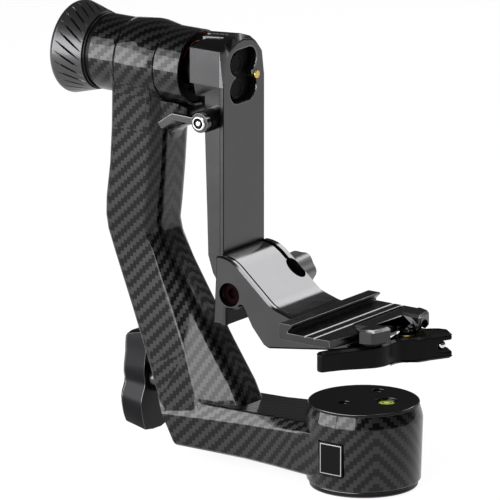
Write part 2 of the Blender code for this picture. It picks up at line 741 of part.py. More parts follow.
def make_arm():
    """The carbon arm in one moulding: drum, limb, column and tilt tube, with its seats."""
    arm = loft("carbon_arm", [arm_ring(*sizes) for sizes in COLUMN_RINGS])
    lean = (LIMB_HEEL_X - LIMB_END[0]) / (LIMB_END[2] - LIMB_BOTTOM)
    limb = loft("limb", [limb_ring(*LIMB_END, lean), *(limb_ring(*sizes) for sizes in LIMB_RINGS)])
    drum = turned(
        "drum",
        (
            (0, drum_foot),
            (DRUM_FOOT_RADIUS - DRUM_EDGE, drum_foot),
            (DRUM_FOOT_RADIUS, drum_foot + DRUM_EDGE),
            (DRUM_SHOULDER_RADIUS, DRUM_HEIGHT - DRUM_TAPER_HEIGHT),
            (DRUM_TOP_RADIUS, DRUM_HEIGHT),
            (0, DRUM_HEIGHT),
        ),
        steps=DRUM_STEPS,
    )
    tube = turned(
        "tube",
        (
            (0, TUBE_LEFT),
            (TUBE_RADIUS, TUBE_LEFT),
            *((radius, x) for x, radius in BAND_PLACES),
            (TUBE_RADIUS, TUBE_RIGHT),
            (0, TUBE_RIGHT),
        ),
        "X",
        (0, 0, TILT_HEIGHT),
        DRUM_STEPS,
    )
    unite(arm, limb, drum, tube)

    pan_bore = turned(
        "pan_bore",
        (
            (0, drum_foot - OVERRUN),
            (drum_bore, drum_foot - OVERRUN),
            (drum_bore, web_low),
            (WEB_RADIUS, web_low),
            (WEB_RADIUS, web_high),
            (drum_bore, web_high),
            (drum_bore, DRUM_HEIGHT + OVERRUN),
            (0, DRUM_HEIGHT + OVERRUN),
        ),
    )
    tilt_bore = turned(
        "tilt_bore",
        (
            (0, TUBE_LEFT - OVERRUN),
            (SEAT_RADIUS, TUBE_LEFT - OVERRUN),
            (SEAT_RADIUS, TUBE_LEFT + LEFT_SEAT_DEPTH),
            (TUBE_BORE_RADIUS, TUBE_LEFT + LEFT_SEAT_DEPTH),
            (TUBE_BORE_RADIUS, TUBE_RIGHT - RIGHT_SEAT_DEPTH),
            (SEAT_RADIUS, TUBE_RIGHT - RIGHT_SEAT_DEPTH),
            (SEAT_RADIUS, TUBE_RIGHT - COLLAR_SINK - COLLAR_THICKNESS - GAP),
            (COLLAR_RADIUS + GAP, TUBE_RIGHT - COLLAR_SINK - COLLAR_THICKNESS - GAP),
            (COLLAR_RADIUS + GAP, TUBE_RIGHT + OVERRUN),
            (0, TUBE_RIGHT + OVERRUN),
        ),
        "X",
        (0, 0, TILT_HEIGHT),
    )
    half = ROCKER_HALF_WIDTH + 2 * GAP
    pocket = box(
        "rocker_pocket",
        (back_of_limb(POCKET_HIGH) - OVERRUN, -half, POCKET_LOW),
        (ROD_END_X, half, POCKET_HIGH),
    )
    shoe_bore = rod("shoe_bore", SHOE_RADIUS + GAP, ROD_END_X - GAP, 0, "X", (0, 0, rod_height), SMALL_STEPS)
    boss_bore = rod(
        "boss_bore",
        PAN_BOSS_RADIUS + GAP,
        back_of_limb(PAN_KNOB_HEIGHT + PAN_BOSS_RADIUS) - OVERRUN,
        back_of_limb(PAN_KNOB_HEIGHT) + COVER_DEPTH + GAP,
        "X",
        (0, 0, PAN_KNOB_HEIGHT),
        SMALL_STEPS,
    )
    rocker_x = ROD_END_X - GAP - ROCKER_THICKNESS / 2
    pin_half = ROCKER_PIN_HALF_LENGTH + GAP
    pin_place = (rocker_x, 0, ROCKER_PIN_HEIGHT)
    pin_bore = rod("pin_bore", ROCKER_PIN_RADIUS + GAP, -pin_half, pin_half, "Y", pin_place, SMALL_STEPS)
    badge_recess = box(
        "badge_recess",
        (-BADGE_WIDTH / 2 - BADGE_BORDER, -DRUM_SHOULDER_RADIUS - OVERRUN, BADGE_LOW - BADGE_BORDER),
        (
            BADGE_WIDTH / 2 + BADGE_BORDER,
            BADGE_THICKNESS + GAP - BADGE_FACE,
            BADGE_LOW + BADGE_HEIGHT + BADGE_BORDER,
        ),
    )
    cut(arm, pan_bore, tilt_bore, pocket, shoe_bore, boss_bore, pin_bore, badge_recess)
    finish(arm, "arm", CARBON)


def make_cap():
    """Cap of the drum with its two sunk screws, level and the blank badge plate."""
    edge = CAP_RADIUS - CAP_CHAMFER
    spigot_low = DRUM_HEIGHT - SPIGOT_HEIGHT
    cap = turned(
        "base_cap",
        (
            (0, spigot_low),
            (PAN_BEARING_RADIUS, spigot_low),
            (PAN_BEARING_RADIUS, cap_low),
            (CAP_RADIUS, cap_low),
            (CAP_RADIUS, cap_high - CAP_CHAMFER),
            (edge, cap_high),
            (0, cap_high),
        ),
        steps=DRUM_STEPS,
    )
    level = (*LEVEL_PLACE, 0)
    level_low = cap_high - LEVEL_DEPTH
    cut(cap, rod("level_bore", LEVEL_RADIUS + GAP, level_low - GAP, cap_high + OVERRUN, "Z", level))
    for number, place in enumerate(CAP_SCREW_PLACES, 1):
        top = cap_high - CAP_SCREW_SINK
        low = top - CAP_SCREW_LENGTH
        middle = (top + low) / 2
        centre = (*place, 0)
        bore = turned(
            "screw_bore",
            (
                (0, spigot_low - OVERRUN),
                (CAP_SCREW_RADIUS + GAP, spigot_low - OVERRUN),
                (CAP_SCREW_RADIUS + GAP, middle - GAP),
                (CAP_SCREW_HEAD_RADIUS + GAP, middle - GAP),
                (CAP_SCREW_HEAD_RADIUS + GAP, cap_high + OVERRUN),
                (0, cap_high + OVERRUN),
            ),
            "Z",
            centre,
            SMALL_STEPS,
        )
        cut(cap, bore)
        screw = turned(
            "cap_screw_%d" % number,
            (
                (0, low),
                (CAP_SCREW_RADIUS, low),
                (CAP_SCREW_RADIUS, middle),
                (CAP_SCREW_HEAD_RADIUS, middle),
                (CAP_SCREW_HEAD_RADIUS, top),
                (CAP_SCREW_RADIUS, top),
                (CAP_SCREW_RADIUS, top - CAP_SCREW_SINK),
                (0, top - CAP_SCREW_SINK),
            ),
            "Z",
            centre,
            SMALL_STEPS,
        )
        finish(screw, "arm", BLACK_STEEL)
    finish(cap, "arm", BLACK)

    housing_top = cap_high - LEVEL_FLOOR
    inner = LEVEL_RADIUS - LEVEL_WALL
    housing = turned(
        "level_housing",
        (
            (0, level_low),
            (LEVEL_RADIUS, level_low),
            (LEVEL_RADIUS, housing_top),
            (inner, housing_top),
            (inner, level_low + LEVEL_FLOOR),
            (0, level_low + LEVEL_FLOOR),
        ),
        "Z",
        level,
    )
    finish(housing, "arm", BLACK)
    vial_radius = inner - GAP
    vial_low = level_low + LEVEL_FLOOR + GAP
    vial_side = housing_top - LEVEL_DOME
    dome = [
        (vial_radius * math.cos(angle), vial_side + LEVEL_DOME * math.sin(angle))
        for angle in (math.pi / 2 * k / FILLET_STEPS for k in range(FILLET_STEPS + 1))
    ]
    profile = [(0, vial_low), (vial_radius, vial_low), *dome[:-1], (0, housing_top)]
    vial = turned("level_vial", profile, "Z", level)
    finish(vial, "arm", LEVEL_YELLOW)

    badge = box(
        "badge_plate",
        (-BADGE_WIDTH / 2, -BADGE_FACE, BADGE_LOW),
        (BADGE_WIDTH / 2, BADGE_THICKNESS - BADGE_FACE, BADGE_LOW + BADGE_HEIGHT),
    )
    finish(badge, "arm", STEEL)


def wing_outline(reach, half_thickness):
    """Outline of the wing knob in (Y, Z) about its axis."""
    near = [(-half_thickness * wide, reach * along) for wide, along in WING_shares]
    return near + [(-y, -z) for y, z in near]


def make_pan_lock():
    """Wing knob behind the elbow, its screw and bearing, and the rocker that works the brake."""
    axis = (0, 0, PAN_KNOB_HEIGHT)
    stations = (
        (PAN_KNOB_OUTER_X, PAN_KNOB_REACH - PAN_KNOB_EDGE, PAN_KNOB_HALF_THICKNESS - PAN_KNOB_EDGE),
        (PAN_KNOB_OUTER_X + PAN_KNOB_EDGE, PAN_KNOB_REACH, PAN_KNOB_HALF_THICKNESS),
        (PAN_KNOB_INNER_X, PAN_KNOB_INNER_REACH, PAN_KNOB_HALF_THICKNESS),
    )
    rings = [
        [(x, y, z + PAN_KNOB_HEIGHT) for y, z in wing_outline(reach, half)] for x, reach, half in stations
    ]
    knob = loft("pan_lock_knob", rings)
    head_face = PAN_KNOB_OUTER_X + PAN_KNOB_EDGE
    head_seat = head_face + PAN_SCREW_HEAD_HEIGHT
    bore = turned(
        "knob_bore",
        (
            (0, PAN_KNOB_OUTER_X - OVERRUN),
            (PAN_SCREW_HEAD_RADIUS + GAP, PAN_KNOB_OUTER_X - OVERRUN),
            (PAN_SCREW_HEAD_RADIUS + GAP, head_seat + GAP),
            (PAN_SCREW_RADIUS + GAP, head_seat + GAP),
            (PAN_SCREW_RADIUS + GAP, PAN_KNOB_INNER_X + OVERRUN),
            (0, PAN_KNOB_INNER_X + OVERRUN),
        ),
        "X",
        axis,
        SMALL_STEPS,
    )
    cut(knob, bore)
    finish(knob, "pan_knob", SATIN_GREY)

    rocker_face = ROD_END_X - GAP - ROCKER_THICKNESS
    screw = turned(
        "pan_knob_screw",
        (
            (0, head_face),
            (PAN_SCREW_HEAD_RADIUS, head_face),
            (PAN_SCREW_HEAD_RADIUS, head_seat),
            (PAN_SCREW_RADIUS, head_seat),
            (PAN_SCREW_RADIUS, rocker_face - GAP),
            (0, rocker_face - GAP),
        ),
        "X",
        axis,
        SMALL_STEPS,
    )
    finish(screw, "pan_knob", STEEL)

    low, high = POCKET_LOW + GAP, POCKET_HIGH - GAP
    outline = (
        (back_of_limb(low), low),
        (back_of_limb(low) + COVER_DEPTH, low),
        (back_of_limb(high) + COVER_DEPTH, high),
        (back_of_limb(high), high),
    )
    bearing = prism("knob_bearing", outline, "Y", -COVER_HALF_WIDTH, COVER_HALF_WIDTH)
    boss_end = back_of_limb(PAN_KNOB_HEIGHT) + COVER_DEPTH
    unite(bearing, rod("boss", PAN_BOSS_RADIUS, PAN_KNOB_INNER_X + GAP, boss_end, "X", axis))
    screw_way = rod(
        "screw_way",
        PAN_SCREW_RADIUS + GAP,
        PAN_KNOB_INNER_X - OVERRUN,
        boss_end + OVERRUN,
        "X",
        axis,
        SMALL_STEPS,
    )
    cut(bearing, screw_way)
    finish(bearing, "arm", SATIN_GREY)

    pin_place = (rocker_face + ROCKER_THICKNESS / 2, 0, ROCKER_PIN_HEIGHT)
    rocker = box(
        "brake_rocker",
        (rocker_face, -ROCKER_HALF_WIDTH, POCKET_LOW + GAP),
        (rocker_face + ROCKER_THICKNESS, ROCKER_HALF_WIDTH, POCKET_HIGH - GAP),
    )
    half = ROCKER_HALF_WIDTH + OVERRUN
    cut(rocker, rod("pin_way", ROCKER_PIN_RADIUS + GAP, -half, half, "Y", pin_place, SMALL_STEPS))
    finish(rocker, "arm", STEEL)
    pin = rod(
        "rocker_pin",
        ROCKER_PIN_RADIUS,
        -ROCKER_PIN_HALF_LENGTH,
        ROCKER_PIN_HALF_LENGTH,
        "Y",
        pin_place,
        SMALL_STEPS,
    )
    finish(pin, "arm", STEEL)

    line = (0, 0, rod_height)
    shoe_face = -(SPINDLE_RADIUS + GAP)
    shoe_back = shoe_face - SHOE_LENGTH
    shoe = rod("brake_shoe", SHOE_RADIUS, shoe_back, shoe_face, "X", line, SMALL_STEPS)
    finish(shoe, "arm", BRASS)
    push = rod("brake_push_rod", ROD_RADIUS, ROD_END_X, shoe_back - GAP, "X", line, SMALL_STEPS)
    finish(push, "arm", STEEL)


def make_tilt_axis():
    """Bearings, retaining ring, red collar, washer and shaft of the tilt axis."""
    axis = (0, 0, TILT_HEIGHT)
    bore = SHAFT_RADIUS + GAP
    left_seat = TUBE_LEFT + LEFT_SEAT_DEPTH
    right_seat = TUBE_RIGHT - RIGHT_SEAT_DEPTH
    outer = SEAT_RADIUS - GAP
    left_low = left_seat - GAP - TILT_BEARING_WIDTH
    left = ring("tilt_bearing_left", bore, outer, left_low, left_low + TILT_BEARING_WIDTH, "X", axis)
    finish(left, "arm", STEEL)
    right_low = right_seat + GAP
    right_high = right_low + TILT_BEARING_WIDTH
    right = ring("tilt_bearing_right", bore, outer, right_low, right_high, "X", axis)
    finish(right, "arm", STEEL)
    retainer_high = left_low - GAP
    retainer_low = retainer_high - RETAINER_THICKNESS
    retainer = ring("retaining_ring", bore, outer, retainer_low, retainer_high, "X", axis)
    finish(retainer, "arm", SATIN_GREY)

    collar_high = TUBE_RIGHT - COLLAR_SINK
    collar_low = collar_high - COLLAR_THICKNESS
    collar_bore = SHAFT_FLANGE_RADIUS + COLLAR_BORE_WALL
    collar = turned(
        "red_collar",
        (
            (bore, right_high + GAP),
            (outer, right_high + GAP),
            (outer, collar_low),
            (COLLAR_RADIUS, collar_low),
            (COLLAR_RADIUS, collar_high),
            (collar_bore, collar_high),
            (collar_bore, collar_low),
            (bore, collar_low),
        ),
        "X",
        axis,
        ROUND_STEPS + SMALL_STEPS // 2,
    )
    finish(collar, "arm", RED_ANODISED)

    washer_high = TUBE_LEFT - GAP
    washer_low = washer_high - WASHER_THICKNESS
    washer = ring("thrust_washer", bore, WASHER_RADIUS, washer_low, washer_high, "X", axis, DRUM_STEPS)
    finish(washer, "arm", BLACK)

    flange_high = HUB_LEFT - GAP
    flange_low = flange_high - SHAFT_FLANGE_THICKNESS
    shaft = turned(
        "tilt_shaft",
        (
            (0, washer_low - SHAFT_STUD_LENGTH),
            (SHAFT_STUD_RADIUS, washer_low - SHAFT_STUD_LENGTH),
            (SHAFT_STUD_RADIUS, washer_low),
            (SHAFT_RADIUS, washer_low),
            (SHAFT_RADIUS, flange_low),
            (SHAFT_FLANGE_RADIUS, flange_low),
            (SHAFT_FLANGE_RADIUS, flange_high),
            (0, flange_high),
        ),
        "X",
        axis,
    )
    for side in (-1, 1):
        place = (0, -ARM_SCREW_OFFSET, TILT_HEIGHT + side * ARM_SCREW_RISE)
        hole = rod(
            "tapped_hole",
            ARM_SCREW_RADIUS + GAP,
            flange_low + GAP * 2,
            flange_high + OVERRUN,
            "X",
            place,
            SMALL_STEPS,
        )
        cut(shaft, hole)
    finish(shaft, "swing", STEEL)


def tilt_knob_radius(along, angle):
    """Radius of the tilt lock knob: a cone whose slanted grooves run out at both ends."""
    cone = TILT_KNOB_SMALL_RADIUS + (TILT_KNOB_LARGE_RADIUS - TILT_KNOB_SMALL_RADIUS) * along
    phase = (angle + TILT_KNOB_TWIST * along) * TILT_KNOB_GROOVES / math.tau
    groove = max(0, math.cos(math.tau * phase)) ** 2
    fade = math.sin(math.pi * min(1, max(0, along)))
    return cone - TILT_KNOB_GROOVE_DEPTH * groove * min(1, 2 * fade)


def make_tilt_knob():
    """Tilt lock knob with slanted grooves, its threaded insert and its end cap."""
    near = TUBE_LEFT - GAP - WASHER_THICKNESS - GAP
    far = near - TILT_KNOB_LENGTH
    flank_start = near - TILT_KNOB_EDGE
    flank_end = far + TILT_KNOB_RIM
    points = TILT_KNOB_GROOVES * 5
    angles = [math.tau * i / points for i in range(points)]
    flank_rows = 5
    stations = [(near, [TILT_KNOB_SMALL_RADIUS - TILT_KNOB_EDGE] * points)]
    for row in range(flank_rows + 1):
        along = row / flank_rows
        x = flank_start + (flank_end - flank_start) * along
        stations.append((x, [tilt_knob_radius(along, angle) for angle in angles]))
    rim_steps = 3
    for k in range(1, rim_steps + 1):
        turn = math.pi / 2 * k / rim_steps
        x = flank_end - TILT_KNOB_RIM * math.sin(turn)
        radius = TILT_KNOB_LARGE_RADIUS - TILT_KNOB_RIM * (1 - math.cos(turn))
        stations.append((x, [radius] * points))
    rings = [
        [(x, -r * math.sin(a), TILT_HEIGHT + r * math.cos(a)) for r, a in zip(radii, angles)]
        for x, radii in stations
    ]
    knob = loft("tilt_lock_knob", rings)
    axis = (0, 0, TILT_HEIGHT)
    cap_seat = far + TILT_KNOB_DISH
    cap_wall = TILT_KNOB_CAP_RADIUS + GAP
    insert_wall = TILT_KNOB_INSERT_RADIUS + GAP
    cap_back = cap_seat + TILT_KNOB_CAP_THICKNESS + GAP
    bore = turned(
        "knob_bore",
        (
            (0, far - OVERRUN),
            (cap_wall, far - OVERRUN),
            (cap_wall, cap_back),
            (insert_wall, cap_back),
            (insert_wall, near + OVERRUN),
            (0, near + OVERRUN),
        ),
        "X",
        axis,
    )
    cut(knob, bore)
    finish(knob, "tilt_knob", BLACK_SATIN)
    insert_inner = SHAFT_STUD_RADIUS + GAP
    insert = ring("tilt_knob_insert", insert_inner, TILT_KNOB_INSERT_RADIUS, cap_back, near, "X", axis)
    finish(insert, "tilt_knob", BRASS)
    cap_high = cap_seat + TILT_KNOB_CAP_THICKNESS
    end_cap = rod("tilt_knob_cap", TILT_KNOB_CAP_RADIUS, cap_seat, cap_high, "X", axis)
    finish(end_cap, "tilt_knob", BLACK)


def hub_ring(x, places, half_width):
    """Outline of the swing arm's hub at one X, whose top runs through the given places (Y, height)."""
    under = [
        (HUB_UNDER_RADIUS * math.cos(angle), hub_low - HUB_UNDER_RADIUS * math.sin(angle))
        for angle in (math.pi * k / (2 * FILLET_STEPS) for k in range(2 * FILLET_STEPS + 1))
    ]
    top = [(y, TILT_HEIGHT + z) for y, z in places]
    outline = [*reversed(under), (half_width, hub_low), *top, (-half_width, hub_low)]
    return [(x, y, z) for y, z in outline]


def make_swing_arm():
    """Forged swing arm: bevelled plate, rear rail, hub, boss and the figure-of-eight pocket."""
    edge_front = PLATE_FRONT - PLATE_EDGE_DEPTH
    plan = mirrored(
        (
            (PLATE_HALF_WIDTH, PLATE_FRONT),
            (PLATE_HALF_WIDTH, edge_front),
            (RAIL_HALF_WIDTH, PLATE_BACK),
        )
    )
    arm = prism("swing_arm", [(x, y) for y, x in plan], "Z", PLATE_BOTTOM, hub_low)
    rail = prism(
        "rail",
        (
            (PLATE_BACK + OVERRUN / 2, RAIL_END_HEIGHT),
            (PLATE_BACK, RAIL_END_HEIGHT),
            (RAIL_TOE_X, RAIL_TOE_HEIGHT),
            (RAIL_BACK_LOW, RAIL_LOW_HEIGHT),
            (RAIL_BACK_TOP, BOSS_HEIGHT),
            (RAIL_BACK_TOP, hub_low),
            (PLATE_BACK + OVERRUN / 2, hub_low),
        ),
        "Y",
        -RAIL_HALF_WIDTH,
        RAIL_HALF_WIDTH,
        RAIL_EDGE / 2,
    )
    face = [Vector(place).normalized() * HEAD_FACE_RADIUS for place in HUB_RIGHT_PLACES]
    hub = loft(
        "hub",
        (
            hub_ring(HUB_LEFT, HUB_LEFT_PLACES, HUB_HALF_WIDTH),
            hub_ring(HUB_RIGHT, HUB_RIGHT_PLACES, HUB_HALF_WIDTH),
            hub_ring(PLATE_FRONT, face, PLATE_HALF_WIDTH),
        ),
    )
    boss = rod("boss", BOSS_RADIUS, -BOSS_FACE, 0, "Y", (BOSS_X, 0, BOSS_HEIGHT), ROUND_STEPS)
    unite(arm, rail, hub, boss)

    tools = []
    for side in (-1, 1):
        height = TILT_HEIGHT + side * POCKET_OFFSET
        straight = POCKET_HALF_LENGTH - POCKET_RADIUS
        corners = (
            (-POCKET_HALF_LENGTH, height - POCKET_RADIUS, POCKET_RADIUS),
            (POCKET_HALF_LENGTH, height - POCKET_RADIUS, POCKET_RADIUS),
            (POCKET_HALF_LENGTH, height + POCKET_RADIUS, POCKET_RADIUS),
            (-POCKET_HALF_LENGTH, height + POCKET_RADIUS, POCKET_RADIUS),
        )
        outline = rounded(corners, 2 * FILLET_STEPS)
        tools.append(prism("pocket", outline, "X", PLATE_FRONT - POCKET_DEPTH, PLATE_FRONT + OVERRUN))
        place = (0, -straight, height)
        screw_place = (0, -ARM_SCREW_OFFSET, TILT_HEIGHT + side * ARM_SCREW_RISE)
        seat = PLATE_FRONT - ARM_SCREW_BORE_DEPTH
        tools.append(
            turned(
                "screw_bore",
                (
                    (0, HUB_LEFT - OVERRUN),
                    (ARM_SCREW_RADIUS + GAP, HUB_LEFT - OVERRUN),
                    (ARM_SCREW_RADIUS + GAP, seat),
                    (ARM_SCREW_HEAD_RADIUS + GAP, seat),
                    (ARM_SCREW_HEAD_RADIUS + GAP, PLATE_FRONT),
                    (0, PLATE_FRONT),
                ),
                "X",
                screw_place,
            )
        )
        name = "arm_screw_upper" if side > 0 else "arm_screw_lower"
        tip = HUB_LEFT - GAP - SHAFT_FLANGE_THICKNESS + 3 * GAP
        head_low = seat + GAP
        head_high = head_low + ARM_SCREW_HEAD_HEIGHT
        screw = turned(
            name,
            (
                (0, tip),
                (ARM_SCREW_RADIUS, tip),
                (ARM_SCREW_RADIUS, head_low),
                (ARM_SCREW_HEAD_RADIUS, head_low),
                (ARM_SCREW_HEAD_RADIUS, head_high),
                (ARM_SCREW_SOCKET_RADIUS, head_high),
                (ARM_SCREW_SOCKET_RADIUS, head_high - ARM_SCREW_HEAD_HEIGHT / 2),
                (0, head_high - ARM_SCREW_HEAD_HEIGHT / 2),
            ),
            "X",
            screw_place,
            SMALL_STEPS,
        )
        finish(screw, "swing", BLACK_STEEL)
    floor = PLATE_FRONT - POCKET_DEPTH
    low = (floor, POCKET_WAIST[0], TILT_HEIGHT - POCKET_RADIUS / 2)
    tools.append(box("waist", low, (PLATE_FRONT + OVERRUN, POCKET_WAIST[1], TILT_HEIGHT + POCKET_RADIUS / 2)))
    pin_place = (0, BRASS_PIN_PLACE, TILT_HEIGHT - BRASS_PIN_DROP)
    pin_high = PLATE_FRONT + BRASS_PIN_STAND
    pin_low = pin_high - BRASS_PIN_LENGTH
    wall = BRASS_PIN_RADIUS + GAP
    tools.append(rod("pin_bore", wall, pin_low - GAP, pin_high + OVERRUN, "X", pin_place, SMALL_STEPS))
    bolt_place = (BOSS_X, 0, BOSS_HEIGHT)
    tools.append(
        rod(
            "bolt_bore",
            CRANK_BOLT_RADIUS + GAP,
            -BOSS_FACE - OVERRUN,
            -BOSS_FACE + CRANK_BOLT_LENGTH + GAP,
            "Y",
            bolt_place,
            SMALL_STEPS,
        )
    )
    for y in HUB_GROOVE_PLACES:
        low = TILT_HEIGHT + HUB_GROOVE_HEIGHT + (y + HUB_GROOVE_WIDTH) * HUB_GROOVE_SLOPE
        half = HUB_GROOVE_WIDTH / 2
        corner = (HUB_LEFT - OVERRUN, y - half, low)
        tools.append(box("hub_groove", corner, (PLATE_BACK - HUB_GROOVE_WIDTH, y + half, low + OVERRUN)))
    cut(arm, *tools)
    finish(arm, "swing", SATIN_GREY)
    pin = rod("brass_pin", BRASS_PIN_RADIUS, pin_low, pin_high, "X", pin_place, SMALL_STEPS)
    finish(pin, "swing", BRASS)


def make_crank():
    """Cranked lever on the swing arm's boss, with its bolt and button screw."""
    hub_low = -BOSS_FACE - GAP
    hub_high = hub_low - CRANK_HUB_HEIGHT
    centre = (BOSS_X, 0, BOSS_HEIGHT)
    lever = rod("tilt_lever", CRANK_HUB_RADIUS, hub_high, hub_low, "Y", centre)
    route = [Vector((0, 0)), Vector(CRANK_ELBOW), Vector(CRANK_TIP)]
    first = (route[1] - route[0]).normalized()
    second = (route[2] - route[1]).normalized()
    side = Vector((-first.y, first.x)) * CRANK_HALF_WIDTH
    far_side = Vector((-second.y, second.x)) * CRANK_HALF_WIDTH
    middle_side = (side + far_side).normalized() * CRANK_HALF_WIDTH
    corners = [
        route[0] + side,
        route[1] + middle_side,
        route[2] + far_side,
        route[2] - far_side,
        route[1] - middle_side,
        route[0] - side,
    ]
    radii = (0, CRANK_HALF_WIDTH, CRANK_HALF_WIDTH / 3, CRANK_HALF_WIDTH / 3, CRANK_HALF_WIDTH, 0)
    outline = rounded([(BOSS_X + c.x, BOSS_HEIGHT + c.y, r) for c, r in zip(corners, radii)])
    unite(lever, prism("crank", outline, "Y", hub_low - CRANK_THICKNESS, hub_low - GAP, LEVER_EDGE))
    through = rod(
        "bolt_way", CRANK_BOLT_RADIUS + GAP, hub_high - OVERRUN, hub_low + OVERRUN, "Y", centre, SMALL_STEPS
    )
    cut(lever, through)
    finish(lever, "crank", SATIN_GREY)

    head_low = hub_high - GAP
    head_high = head_low - CRANK_SCREW_HEIGHT
    dome = [
        (CRANK_SCREW_RADIUS * math.cos(turn), head_low - CRANK_SCREW_HEIGHT * math.sin(turn))
        for turn in (math.pi / 3 * k / FILLET_STEPS for k in range(FILLET_STEPS + 1))
    ]
    top = dome[-1][1]
    bolt = turned(
        "tilt_lever_screw",
        (
            (0, -BOSS_FACE + CRANK_BOLT_LENGTH),
            (CRANK_BOLT_RADIUS, -BOSS_FACE + CRANK_BOLT_LENGTH),
            (CRANK_BOLT_RADIUS, head_low),
            *dome,
            (CRANK_SOCKET_RADIUS, top),
            (CRANK_SOCKET_RADIUS, (top + head_low) / 2),
            (0, (top + head_low) / 2),
        ),
        "Y",
        centre,
    )
    finish(bolt, "crank", POLISHED_STEEL)


def foot_outline():
    """Side outline of the foot bracket in (X, Z)."""
    arc = []
    reach = CLAMP_BORE_RADIUS + CLAMP_BORE_WALL
    first = math.acos((LEG_FRONT - CLAMP_BOLT_X) / reach)
    last = math.radians(48)
    for k in range(2 * FILLET_STEPS + 1):
        angle = first + (last - first) * k / (2 * FILLET_STEPS)
        arc.append((CLAMP_BOLT_X + reach * math.cos(angle), CLAMP_BOLT_HEIGHT - reach * math.sin(angle)))
    upper = rounded(
        (
            (FOOT_BACK, FOOT_TOP, FOOT_CORNER_RADIUS / 2),
            (FOOT_TOP_FRONT, FOOT_TOP, FOOT_CORNER_RADIUS),
            (*SLOPE_END, FOOT_SADDLE_RADIUS),
            (*SADDLE, FOOT_SADDLE_RADIUS),
            (SEAT_BACK - GAP, SADDLE[1], 0),
            (SEAT_BACK - GAP, SEAT_HEIGHT, 0),
            (FOOT_FRONT, SEAT_HEIGHT, 0),
            (FOOT_FRONT, FOOT_FRONT_LOW, FOOT_CORNER_RADIUS / 2),
            (*KEEL, FOOT_CORNER_RADIUS),
            (*KEEL_BACK, 0),
            (*CHANNEL_FOOT, FOOT_CORNER_RADIUS / 2),
            (*CHANNEL_TOP, FOOT_CORNER_RADIUS / 2),
            (arc[-1][0], arc[-1][1], 0),
        )
    )
    return [*upper, *reversed(arc[:-1]), (LEG_FRONT, LEG_BOTTOM), (FOOT_BACK, LEG_BOTTOM)]


